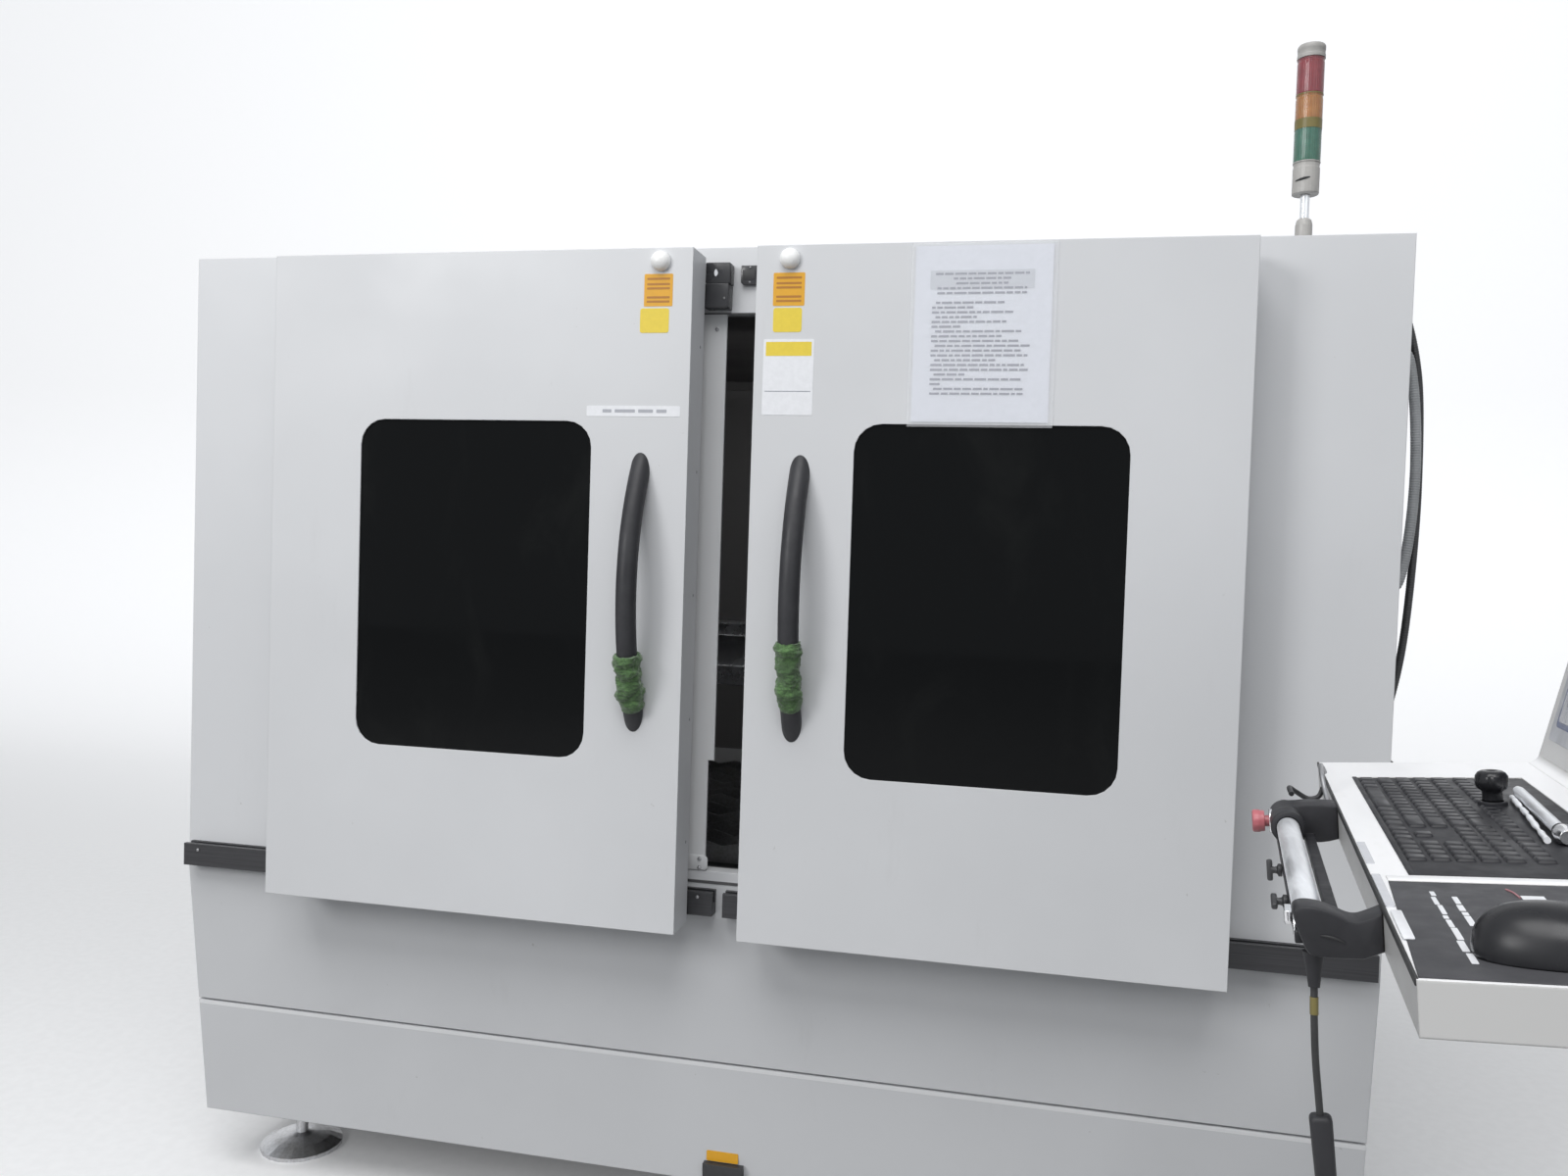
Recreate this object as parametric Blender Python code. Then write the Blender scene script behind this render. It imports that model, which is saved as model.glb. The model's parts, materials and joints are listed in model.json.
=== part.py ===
"""Fiber laser cutting machine: an enclosed cell with two sliding doors and a swing-out console.

Metres, +Z up, the front faces -Y. The design frame has x = 0 on the cabinet's middle plane,
y = 0 on its front face and z = 0 on the floor. The root empty moves the origin to the bottom
of the front left foot.
"""
import math

import bmesh
import bpy
from mathutils import Matrix, Vector

# Clearances
TOUCH = 0.0003
RUNNING = 0.001

# Cabinet
CABINET_WIDTH = 2.165
CABINET_DEPTH = 1.70
CABINET_TOP = 1.822
SKIRT_BOTTOM = 0.130
BEND_HEIGHT = 0.640
FRONT_LEAN = 0.127
SEAM_HEIGHT = 0.3655
SEAM_GAP = 0.004
SHEET = 0.0025
PANEL_DEPTH = 0.030
ROOF_DROP = 0.004
OPENING_HALF = 0.740
OPENING_BOTTOM = 0.7235
HEADER_HEIGHT = 0.1144
VENT_DROP = 0.282
VENT_PITCH = 0.035

# Base frame and feet
FRAME_TUBE = 0.080
FRAME_BOTTOM = 0.115
DECK_THICKNESS = 0.006
FOOT_INSET = 0.1175
FOOT_FRONT_Y = 0.215
FOOT_REAR_INSET = 0.160
FOOT_RADIUS = 0.0825
CROSS_TUBE_X = 0.345

# Guide rails
RAIL_PROUD = 0.028
LOWER_RAIL_BOTTOM = 0.651
LOWER_RAIL_HEIGHT = 0.042
UPPER_RAIL_DROP = 0.102
UPPER_RAIL_HEIGHT = 0.036
RAIL_END_INSET = 0.0095
LOWER_RAIL_START_LEFT = 0.011
LOWER_RAIL_START_RIGHT = 0.008
UPPER_RAIL_START = 0.065
UPPER_RAIL_END = 0.830
GROOVE_WIDTH = 0.012
GROOVE_DEPTH = 0.021

# Doors
DOOR_FRONT = -0.107
DOOR_DEPTH = 0.075
DOOR_WIDTH = 0.7835
DOOR_INNER_EDGE = 0.055
DOOR_BOTTOM = 0.638
DOOR_TOP_DROP = 0.024
DOOR_RETURN = 0.015
WINDOW_INNER = 0.2270
WINDOW_WIDTH = 0.4348
WINDOW_BOTTOM = 0.927
WINDOW_DROP = 0.291
WINDOW_CORNER = 0.045
PANE_MARGIN = 0.018
PANE_THICKNESS = 0.006
CARRIER_DEPTH = 0.042
STILE_WIDTH = 0.040
STILE_INNER = 0.130
STILE_OUTER = 0.720
UPPER_SHOE_OUTER = 0.560
ARM_HEIGHT = 0.014
ARM_CLEARANCE = 0.004

# Handles, padding and knobs on the doors
HANDLE_X = 0.138
HANDLE_Z = 1.2175
HANDLE_CHORD = 0.409
HANDLE_RISE = 0.053
HANDLE_RADIUS = 0.0172
HANDLE_STEPS = 36
HANDLE_SIDES = 12
WRAP_STEPS = 8
HANDLE_WRAPS = {"left": (0.009, 0.0925, 0.0235), "right": (0.026, 0.1125, 0.021)}
KNOB_X = 0.111
KNOB_DROP = 0.0225
KNOB_RADIUS = 0.017
KNOB_HEIGHT = 0.016

# Door switch, post and latch
POST_LEFT = -0.075
POST_RIGHT = -0.0226
POST_STEP_RIGHT = -0.0333
POST_STEP_HEIGHT = 0.921
POST_DEPTH = 0.005
SWITCH_LEFT = -0.0574
SWITCH_RIGHT = -0.0066
SWITCH_DROP = 0.0312
SWITCH_HEIGHT = 0.0781
SWITCH_LOWER_HEIGHT = 0.0423
LATCH_LEFT = -0.034
LATCH_RIGHT = 0.0405
LATCH_BELOW = 0.002
LATCH_HEIGHT = 0.0435
LATCH_PROUD = 0.014

# Stack light, from the roof up
STACK_INSET = 0.1225
STACK_Y = 0.250
STACK_RADIUS = 0.0226
STACK_FOOT_HEIGHT = 0.0943
STACK_POLE_HEIGHT = 0.042
STACK_BASE_HEIGHT = 0.055
GREEN_LENS_HEIGHT = 0.068
AMBER_LENS_HEIGHT = 0.050
RED_LENS_HEIGHT = 0.063
STACK_CAP_HEIGHT = 0.025

# Hoses on the right side wall
HOSE_Y = 0.100
HOSE_GAP = 0.004
GREY_HOSE_RADIUS = 0.0085
GREY_HOSE_DROP = 0.170
GREY_HOSE_LENGTH = 0.384
GREY_HOSE_BULGE = 0.040
BLACK_HOSE_RADIUS = 0.0065
BLACK_HOSE_DROP = 0.106
BLACK_HOSE_LENGTH = 0.654
BLACK_HOSE_BULGE = 0.050

# Cutting bed
BED_HALF = 0.640
BED_FRONT = 0.260
BED_REAR = 1.300
BED_WALL = 0.030
SLAT_BOTTOM = 0.655
SLAT_TOP = 0.700
SLAT_TOOTH = 0.012
SLAT_THICKNESS = 0.003
SLAT_COUNT = 11
SLAT_TEETH = 14

# Motion system
WAY_X = 0.800
WAY_WIDTH = 0.080
WAY_FRONT = 0.200
WAY_REAR = 1.600
WAY_TOP = 0.900
LINEAR_RAIL = 0.020
GANTRY_Y = 1.060
GANTRY_DEPTH = 0.120
GANTRY_HEIGHT = 0.160
TRUCK_HALF = 0.090
TRUCK_HEIGHT = 0.020
CARRIAGE_HALF = 0.090
CARRIAGE_THICKNESS = 0.030
SLIDE_HALF = 0.050
SLIDE_THICKNESS = 0.070
SLIDE_BELOW = 0.050
SLIDE_ABOVE = 0.030
CLAMP_HALF = 0.055
CLAMP_REACH = 0.044
CLAMP_BELOW = 0.050
CLAMP_ABOVE = 0.015
MOTOR_HALF = 0.032
MOTOR_HEIGHT = 0.110
HEAD_OFFSET = 0.045
HEAD_RADIUS = 0.036
HEAD_LENGTH = 0.410
NOZZLE_TIP = 0.740

# Swing arm
ARM_OUT = 0.0675
ARM_BACK = 0.090
ARM_BOTTOM = 0.890
ARM_DEPTH = 0.046
ARM_HALF_WIDTH = 0.025
BARREL_RADIUS = 0.030
BARREL_HEIGHT = 0.086
PIN_RADIUS = 0.010
BRACKET_PLATE = 0.015

# Console, in its own frame: x across the tray, y along it, z out of its top
CONSOLE_IN = 0.1905
CONSOLE_AHEAD = 0.416
CONSOLE_HEIGHT = 1.050
CONSOLE_YAW = -7.24
CONSOLE_TILT = -5.1
TRAY_LENGTH = 0.870
TRAY_WIDTH = 0.300
TRAY_THICKNESS = 0.036
SCREEN_BASE = 0.244
SCREEN_LEAN = 17.5
SCREEN_HEIGHT = 0.400
SCREEN_THICKNESS = 0.050
SCREEN_LENGTH = 0.616
DISPLAY_LENGTH = 0.530
DISPLAY_HEIGHT = 0.305
DISPLAY_INSET = 0.040
DISPLAY_THICKNESS = 0.006
KEYBOARD_LEFT = 0.030
KEYBOARD_RIGHT = 0.206
KEYBOARD_FAR = -0.112
KEYBOARD_NEAR = -0.597
KEYBOARD_DEPTH = 0.005
KEY_PITCH = 0.019
KEY_ROWS = 6
KEY_COLUMNS = 22
JOG_PLACE = (0.1475, -0.278)
JOG_RADIUS = 0.0155
JOG_HEIGHT = 0.038
JOG_TRAVEL = 0.005
JOG_STEM = 0.0075
JOG_COLLAR = 0.004
MOUSE_PLACE = (0.098, -0.801)
TILT_X = 0.150
TILT_Y = -0.430
TILT_DROP = 0.075
TILT_BARREL_RADIUS = 0.018
TILT_BARREL_HALF = 0.045
LUG_THICKNESS = 0.012
GRIP_X = -0.0505
GRIP_DROP = 0.0165
GRIP_RADIUS = 0.011
GRIP_FAR = -0.335
GRIP_NEAR = -0.670
GRIP_HUB_RADIUS = 0.016
GRIP_HUB_LENGTH = 0.073
FAR_BRACKET = 0.038
NEAR_BRACKET = 0.030
GRIP_RAIL_X = -0.0615
GRIP_RAIL_TOP = -0.029
GRIP_RAIL_HEIGHT = 0.009
GRIP_BAR_X = -0.034
STOP_RADIUS = 0.012
STOP_TRAVEL = 0.004
STOP_STEM = 0.006
STOP_COLLAR = 0.017
LEVER_PLACES = {"wing_lever_far": -0.450, "wing_lever_near": -0.565}

# Sizes that follow
HALF = CABINET_WIDTH / 2
REAR = CABINET_DEPTH
OPENING_TOP = CABINET_TOP - HEADER_HEIGHT
FOOT_X = HALF - FOOT_INSET
FOOT_REAR_Y = REAR - FOOT_REAR_INSET
RAIL_END = HALF - RAIL_END_INSET
INSIDE_HALF = HALF - PANEL_DEPTH - TOUCH
INSIDE_REAR = REAR - PANEL_DEPTH - TOUCH
DECK_BOTTOM = FRAME_BOTTOM + FRAME_TUBE
DECK_TOP = DECK_BOTTOM + DECK_THICKNESS
DOOR_REAR = DOOR_FRONT + DOOR_DEPTH
DOOR_TOP = CABINET_TOP - DOOR_TOP_DROP
WINDOW_TOP = DOOR_TOP - WINDOW_DROP
KNOB_Z = DOOR_TOP - KNOB_DROP
SWITCH_TOP = CABINET_TOP - SWITCH_DROP
SWITCH_BOTTOM = SWITCH_TOP - SWITCH_HEIGHT
SWITCH_SPLIT = SWITCH_BOTTOM + SWITCH_LOWER_HEIGHT
LATCH_BOTTOM = SKIRT_BOTTOM - LATCH_BELOW
LATCH_TOP = LATCH_BOTTOM + LATCH_HEIGHT
ROOF_TOP = CABINET_TOP - ROOF_DROP
STACK_X = HALF - STACK_INSET
STACK_FOOT_TOP = ROOF_TOP + STACK_FOOT_HEIGHT
STACK_BASE_BOTTOM = STACK_FOOT_TOP + STACK_POLE_HEIGHT
STACK_GREEN_BOTTOM = STACK_BASE_BOTTOM + STACK_BASE_HEIGHT
STACK_AMBER_BOTTOM = STACK_GREEN_BOTTOM + GREEN_LENS_HEIGHT
STACK_RED_BOTTOM = STACK_AMBER_BOTTOM + AMBER_LENS_HEIGHT
STACK_CAP_BOTTOM = STACK_RED_BOTTOM + RED_LENS_HEIGHT
STACK_TOP = STACK_CAP_BOTTOM + STACK_CAP_HEIGHT
LOWER_RAIL_TOP = LOWER_RAIL_BOTTOM + LOWER_RAIL_HEIGHT
UPPER_RAIL_BOTTOM = CABINET_TOP - UPPER_RAIL_DROP
UPPER_RAIL_TOP = UPPER_RAIL_BOTTOM + UPPER_RAIL_HEIGHT
GROOVE_MIDDLE = -(RAIL_PROUD + TOUCH) / 2
BOW_RADIUS = (HANDLE_CHORD ** 2 / 4 + HANDLE_RISE ** 2) / (2 * HANDLE_RISE)
BOW_CENTRE_Y = DOOR_FRONT - HANDLE_RISE + BOW_RADIUS
WAY_RAIL_TOP = WAY_TOP + LINEAR_RAIL
GANTRY_BOTTOM = WAY_RAIL_TOP + TOUCH + TRUCK_HEIGHT
GANTRY_TOP = GANTRY_BOTTOM + GANTRY_HEIGHT
GANTRY_FRONT = GANTRY_Y - GANTRY_DEPTH / 2
CARRIAGE_REAR = GANTRY_FRONT - LINEAR_RAIL - TOUCH
CARRIAGE_FRONT = CARRIAGE_REAR - CARRIAGE_THICKNESS
SLIDE_REAR = CARRIAGE_FRONT - TOUCH
SLIDE_FRONT = SLIDE_REAR - SLIDE_THICKNESS
HEAD_Y = SLIDE_FRONT - HEAD_OFFSET
ARM_PIVOT = (HALF + ARM_OUT, ARM_BACK)
CONSOLE_CORNER = (HALF - CONSOLE_IN, -CONSOLE_AHEAD, CONSOLE_HEIGHT)
ARM_TOP = ARM_BOTTOM + ARM_DEPTH
ARM_MIDDLE = (ARM_BOTTOM + ARM_TOP) / 2


def front_y(height):
    """Depth of the front face at a height: upright above the bend, leaning in below it."""
    return max(0.0, (BEND_HEIGHT - height) * FRONT_LEAN)


# Shape tools

def clear_objects():
    for thing in list(bpy.data.objects):
        bpy.data.objects.remove(thing, do_unlink=True)


def box(low, high):
    shape = bmesh.new()
    bmesh.ops.create_cube(shape, size=1.0)
    size = Vector(high) - Vector(low)
    bmesh.ops.scale(shape, vec=size, verts=shape.verts)
    bmesh.ops.translate(shape, vec=Vector(low) + size / 2, verts=shape.verts)
    return shape


def prism(outline, start, end, axis):
    """Extrude an outline along an axis; its pairs are the other two axes in x, y, z order."""
    def point(pair, along):
        first, second = pair
        return {"x": (along, first, second), "y": (first, along, second),
                "z": (first, second, along)}[axis]
    shape = bmesh.new()
    near = [shape.verts.new(point(pair, start)) for pair in outline]
    far = [shape.verts.new(point(pair, end)) for pair in outline]
    shape.faces.new(near)
    shape.faces.new(far)
    for index in range(len(outline)):
        after = (index + 1) % len(outline)
        shape.faces.new((near[index], near[after], far[after], far[index]))
    bmesh.ops.recalc_face_normals(shape, faces=shape.faces)
    return shape


def rounded_rect(low, high, radius, steps=5):
    """A rectangle's outline with rounded corners, counter-clockwise."""
    corners = ((high[0] - radius, high[1] - radius, 0), (low[0] + radius, high[1] - radius, 90),
               (low[0] + radius, low[1] + radius, 180), (high[0] - radius, low[1] + radius, 270))
    outline = []
    for x, y, begin in corners:
        for step in range(steps + 1):
            angle = math.radians(begin + 90 * step / steps)
            outline.append((x + radius * math.cos(angle), y + radius * math.sin(angle)))
    return outline


def turned(profile, place, direction=(0, 0, 1), sides=24):
    """Revolve (radius, height) pairs, from bottom to top, about an axis through a place."""
    shape = bmesh.new()
    rings = []
    for radius, height in profile:
        if radius == 0:
            rings.append([shape.verts.new((0, 0, height))])
            continue
        turns = [2 * math.pi * side / sides for side in range(sides)]
        rings.append([shape.verts.new((radius * math.cos(turn), radius * math.sin(turn), height))
                      for turn in turns])
    for lower, upper in zip(rings, rings[1:]):
        for side in range(sides):
            after = (side + 1) % sides
            corners = [lower[side % len(lower)], lower[after % len(lower)],
                       upper[after % len(upper)], upper[side % len(upper)]]
            shape.faces.new(list(dict.fromkeys(corners)))
    bmesh.ops.recalc_face_normals(shape, faces=shape.faces)
    turn = Vector((0, 0, 1)).rotation_difference(Vector(direction))
    bmesh.ops.transform(shape, matrix=Matrix.Translation(place) @ turn.to_matrix().to_4x4(),
                        verts=shape.verts)
    return shape


def rod(place, direction, radius, length, sides=24):
    return turned([(0, 0), (radius, 0), (radius, length), (0, length)], place, direction, sides)


def bow_tube(x, angles, radius, bore=0.0):
    """A tube along the handle's bow, solid or with a bore; angles run from low to high."""
    shape = bmesh.new()

    def ring(angle, size):
        outward = Vector((0, -math.cos(angle), math.sin(angle)))
        middle = Vector((x, BOW_CENTRE_Y, HANDLE_Z)) + outward * BOW_RADIUS
        turns = [2 * math.pi * side / HANDLE_SIDES for side in range(HANDLE_SIDES)]
        return [shape.verts.new(middle + Vector((size * math.cos(turn), 0, 0))
                                + outward * size * math.sin(turn)) for turn in turns]

    def skin(rings):
        for first, second in zip(rings, rings[1:]):
            for side in range(HANDLE_SIDES):
                after = (side + 1) % HANDLE_SIDES
                shape.faces.new((first[side], first[after], second[after], second[side]))

    outer = [ring(angle, radius) for angle in angles]
    skin(outer)
    if bore:
        inner = [ring(angle, bore) for angle in angles]
        skin(inner)
        skin([outer[0], inner[0]])
        skin([outer[-1], inner[-1]])
    else:
        shape.faces.new(outer[0])
        shape.faces.new(outer[-1])
    bmesh.ops.recalc_face_normals(shape, faces=shape.faces)
    return shape


def combine(shape, tool, operation):
    """Boolean of two closed shapes."""
    pair = []
    for role, source in (("body", shape), ("tool", tool)):
        mesh = bpy.data.meshes.new(role)
        source.to_mesh(mesh)
        source.free()
        thing = bpy.data.objects.new(role, mesh)
        bpy.context.scene.collection.objects.link(thing)
        pair.append(thing)
    change = pair[0].modifiers.new("combine", "BOOLEAN")
    change.operation = operation
    change.object = pair[1]
    bpy.context.view_layer.update()
    view = bpy.context.evaluated_depsgraph_get()
    result = bmesh.new()
    result.from_mesh(pair[0].evaluated_get(view).data)
    for thing in pair:
        bpy.data.objects.remove(thing, do_unlink=True)
    return result


def join(shape, *tools):
    for tool in tools:
        shape = combine(shape, tool, "UNION")
    return shape


def cut(shape, *tools):
    for tool in tools:
        shape = combine(shape, tool, "DIFFERENCE")
    return shape


# Materials and placing

def finish(name, colour, roughness, metallic=0.0):
    look = bpy.data.materials.new(name)
    look.use_nodes = True
    shader = look.node_tree.nodes["Principled BSDF"]
    shader.inputs["Base Color"].default_value = (*colour, 1.0)
    shader.inputs["Roughness"].default_value = roughness
    shader.inputs["Metallic"].default_value = metallic
    return look


def make_finishes():
    return {
        "panel_paint": finish("panel_paint", (0.60, 0.61, 0.62), 0.45),
        "white_paint": finish("white_paint", (0.82, 0.82, 0.82), 0.40),
        "console_white": finish("console_white", (0.82, 0.82, 0.82), 0.35),
        "frame_paint": finish("frame_paint", (0.10, 0.10, 0.11), 0.55),
        "bed_paint": finish("bed_paint", (0.22, 0.23, 0.24), 0.60),
        "black_plastic": finish("black_plastic", (0.025, 0.025, 0.027), 0.45),
        "rail_black": finish("rail_black", (0.035, 0.035, 0.038), 0.40, 0.6),
        "dark_glass": finish("dark_glass", (0.008, 0.009, 0.010), 0.05),
        "zinc_steel": finish("zinc_steel", (0.60, 0.60, 0.61), 0.35, 1.0),
        "aluminium": finish("aluminium", (0.75, 0.76, 0.78), 0.28, 1.0),
        "green_wrap": finish("green_wrap", (0.06, 0.22, 0.06), 0.85),
        "ivory_plastic": finish("ivory_plastic", (0.70, 0.68, 0.60), 0.40),
        "red_lens": finish("red_lens", (0.45, 0.04, 0.05), 0.20),
        "amber_lens": finish("amber_lens", (0.70, 0.30, 0.04), 0.20),
        "green_lens": finish("green_lens", (0.04, 0.26, 0.17), 0.20),
        "grey_hose": finish("grey_hose", (0.55, 0.56, 0.57), 0.50),
        "black_hose": finish("black_hose", (0.02, 0.02, 0.02), 0.50),
        "red_button": finish("red_button", (0.65, 0.12, 0.15), 0.35),
    }


def pivot(name, location, parent=None, rotation=(0, 0, 0)):
    """An empty on a joint's axis, or the frame that a group of pieces is laid out in."""
    thing = bpy.data.objects.new(name, None)
    thing.location = location
    thing.rotation_euler = rotation
    thing.parent = parent
    bpy.context.scene.collection.objects.link(thing)
    bpy.context.view_layer.update()
    return thing


def place(name, shape, look, carrier, local=False, smooth=False):
    """Add one sub-part under its carrier. Shapes come in the design frame, or the carrier's own."""
    if not local:
        offset = carrier.matrix_world.translation - ROOT.matrix_world.translation
        bmesh.ops.translate(shape, vec=-offset, verts=shape.verts)
    bmesh.ops.remove_doubles(shape, verts=shape.verts, dist=1e-6)
    bmesh.ops.recalc_face_normals(shape, faces=shape.faces)
    mesh = bpy.data.meshes.new(name)
    shape.to_mesh(mesh)
    shape.free()
    if smooth:
        mesh.shade_smooth()
        mesh.set_sharp_from_angle(angle=math.radians(35))
    mesh.materials.append(LOOKS[look])
    thing = bpy.data.objects.new(name, mesh)
    thing.parent = carrier
    bpy.context.scene.collection.objects.link(thing)
    return thing


# Base and cabinet

def build_base():
    low, high = FRAME_BOTTOM, DECK_BOTTOM + RUNNING
    half = FRAME_TUBE / 2
    reach = FOOT_X + half
    ends = (FOOT_FRONT_Y - half, FOOT_REAR_Y + half)
    frame = box((-INSIDE_HALF, front_y(DECK_BOTTOM) + PANEL_DEPTH + 2 * TOUCH, DECK_BOTTOM),
                (INSIDE_HALF, INSIDE_REAR, DECK_TOP))
    for y in (FOOT_FRONT_Y, FOOT_REAR_Y):
        frame = join(frame, box((-reach, y - half, low), (reach, y + half, high)))
    for x in (-FOOT_X, -CROSS_TUBE_X, CROSS_TUBE_X, FOOT_X):
        width = half if abs(x) == FOOT_X else half * 0.8
        frame = join(frame, box((x - width, ends[0] + RUNNING, low + RUNNING),
                                (x + width, ends[1] - RUNNING, high)))
    place("base_frame", frame, "frame_paint", ROOT)
    for name, x, y in (("foot_front_left", -FOOT_X, FOOT_FRONT_Y),
                       ("foot_front_right", FOOT_X, FOOT_FRONT_Y),
                       ("foot_rear_left", -FOOT_X, FOOT_REAR_Y),
                       ("foot_rear_right", FOOT_X, FOOT_REAR_Y)):
        top = FRAME_BOTTOM - TOUCH
        profile = [(0, 0), (FOOT_RADIUS, 0), (FOOT_RADIUS, 0.008), (0.058, 0.020),
                   (0.024, 0.026), (0.012, 0.030), (0.012, top - 0.030), (0.020, top - 0.030),
                   (0.020, top), (0, top)]
        place(name, turned(profile, (x, y, 0), sides=20), "zinc_steel", ROOT, smooth=True)


def front_outline(top, bottom, front, back):
    """Side outline of a front panel between two offsets behind the front face."""
    heights = [top] + ([BEND_HEIGHT] if bottom < BEND_HEIGHT < top else []) + [bottom]
    face = [(front_y(height) + front, height) for height in heights]
    return face + [(front_y(height) + back, height) for height in reversed(heights)]


def build_front():
    bottom = SEAM_HEIGHT + SEAM_GAP / 2
    panel = prism(front_outline(CABINET_TOP, bottom, 0, PANEL_DEPTH), -HALF, HALF, "x")
    pocket = prism(front_outline(CABINET_TOP - SHEET, bottom + SHEET, SHEET, PANEL_DEPTH * 1.5),
                   -HALF + SHEET, HALF - SHEET, "x")
    rim = box((-OPENING_HALF - SHEET, -PANEL_DEPTH, OPENING_BOTTOM - SHEET),
              (OPENING_HALF + SHEET, 2 * PANEL_DEPTH, OPENING_TOP + SHEET))
    opening = box((-OPENING_HALF, -PANEL_DEPTH, OPENING_BOTTOM),
                  (OPENING_HALF, 2 * PANEL_DEPTH, OPENING_TOP))
    place("front_panel", cut(panel, cut(pocket, rim), opening), "panel_paint", ROOT)
    top = SEAM_HEIGHT - SEAM_GAP / 2
    skirt = prism(front_outline(top, SKIRT_BOTTOM, 0, PANEL_DEPTH), -HALF, HALF, "x")
    hollow = prism(front_outline(top - SHEET, SKIRT_BOTTOM + SHEET, SHEET, PANEL_DEPTH * 1.5),
                   -HALF + SHEET, HALF - SHEET, "x")
    place("skirt_panel", cut(skirt, hollow), "panel_paint", ROOT)


def build_sides():
    front = PANEL_DEPTH + 2 * TOUCH
    outline = [(front, CABINET_TOP), (front, BEND_HEIGHT),
               (front + front_y(SKIRT_BOTTOM), SKIRT_BOTTOM),
               (INSIDE_REAR, SKIRT_BOTTOM), (INSIDE_REAR, CABINET_TOP)]
    inner = [(front + SHEET, CABINET_TOP - SHEET), (front + SHEET, BEND_HEIGHT),
             (front + SHEET + front_y(SKIRT_BOTTOM), SKIRT_BOTTOM + SHEET),
             (INSIDE_REAR - SHEET, SKIRT_BOTTOM + SHEET),
             (INSIDE_REAR - SHEET, CABINET_TOP - SHEET)]
    for name, side in (("side_panel_left", -1), ("side_panel_right", 1)):
        panel = prism(outline, side * HALF, side * (HALF - PANEL_DEPTH), "x")
        pocket = prism(inner, side * (HALF - SHEET), side * (HALF - PANEL_DEPTH * 1.5), "x")
        place(name, cut(panel, pocket), "panel_paint", ROOT)


def build_rear_and_roof():
    rear = box((-HALF, REAR - PANEL_DEPTH, SKIRT_BOTTOM), (HALF, REAR, CABINET_TOP))
    pocket = box((-HALF + SHEET, REAR - 2 * PANEL_DEPTH, SKIRT_BOTTOM + SHEET),
                 (HALF - SHEET, REAR - SHEET, CABINET_TOP - SHEET))
    rear = cut(rear, pocket)
    for row in range(5):
        height = CABINET_TOP - VENT_DROP - VENT_PITCH * row
        rear = cut(rear, box((-0.18, REAR - 0.02, height), (0.18, REAR + 0.01, height + 0.012)))
    place("rear_panel", rear, "panel_paint", ROOT)
    front = PANEL_DEPTH + 2 * TOUCH
    roof = box((-INSIDE_HALF, front, ROOF_TOP - PANEL_DEPTH), (INSIDE_HALF, INSIDE_REAR, ROOF_TOP))
    hollow = box((-INSIDE_HALF + SHEET, front + SHEET, ROOF_TOP - PANEL_DEPTH * 1.5),
                 (INSIDE_HALF - SHEET, INSIDE_REAR - SHEET, ROOF_TOP - SHEET))
    place("roof_panel", cut(roof, hollow), "panel_paint", ROOT)


def guide_rail(name, start, end, bottom, height):
    """A bar with a groove in its top edge, screwed to the front face."""
    low_x, high_x = min(start, end), max(start, end)
    bar = box((low_x, -RAIL_PROUD, bottom), (high_x, -TOUCH, bottom + height))
    groove = box((low_x - 0.01, GROOVE_MIDDLE - GROOVE_WIDTH / 2, bottom + height - GROOVE_DEPTH),
                 (high_x + 0.01, GROOVE_MIDDLE + GROOVE_WIDTH / 2, bottom + height + 0.01))
    place(name, cut(bar, groove), "rail_black", ROOT)


def build_rails():
    guide_rail("lower_rail_left", -RAIL_END, -LOWER_RAIL_START_LEFT,
               LOWER_RAIL_BOTTOM, LOWER_RAIL_HEIGHT)
    guide_rail("lower_rail_right", LOWER_RAIL_START_RIGHT, RAIL_END,
               LOWER_RAIL_BOTTOM, LOWER_RAIL_HEIGHT)
    for name, side in (("upper_rail_left", -1), ("upper_rail_right", 1)):
        guide_rail(name, side * UPPER_RAIL_START, side * UPPER_RAIL_END,
                   UPPER_RAIL_BOTTOM, UPPER_RAIL_HEIGHT)


def build_front_fittings():
    bottom, top = OPENING_BOTTOM + TOUCH, OPENING_TOP - TOUCH
    post = prism([(POST_LEFT, bottom), (POST_STEP_RIGHT, bottom),
                  (POST_STEP_RIGHT, POST_STEP_HEIGHT), (POST_RIGHT, POST_STEP_HEIGHT),
                  (POST_RIGHT, top), (POST_LEFT, top)], 0, POST_DEPTH, "y")
    place("centre_post", post, "panel_paint", ROOT)
    body = box((SWITCH_LEFT, -RAIL_PROUD, SWITCH_BOTTOM), (SWITCH_RIGHT, -TOUCH, SWITCH_SPLIT))
    head = box((SWITCH_LEFT + 0.0015, -RAIL_PROUD + 0.002, SWITCH_SPLIT - 0.002),
               (SWITCH_RIGHT - 0.0015, -TOUCH, SWITCH_TOP))
    slot = box((SWITCH_LEFT + 0.012, -RAIL_PROUD - 0.01, SWITCH_SPLIT + 0.016),
               (SWITCH_RIGHT - 0.012, -RAIL_PROUD + 0.012, SWITCH_SPLIT + 0.021))
    place("interlock_switch", cut(join(body, head), slot), "black_plastic", ROOT)
    outline = front_outline(LATCH_TOP, LATCH_BOTTOM, -LATCH_PROUD, -TOUCH)
    place("skirt_latch", prism(outline, LATCH_LEFT, LATCH_RIGHT, "x"), "black_plastic", ROOT)


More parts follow.
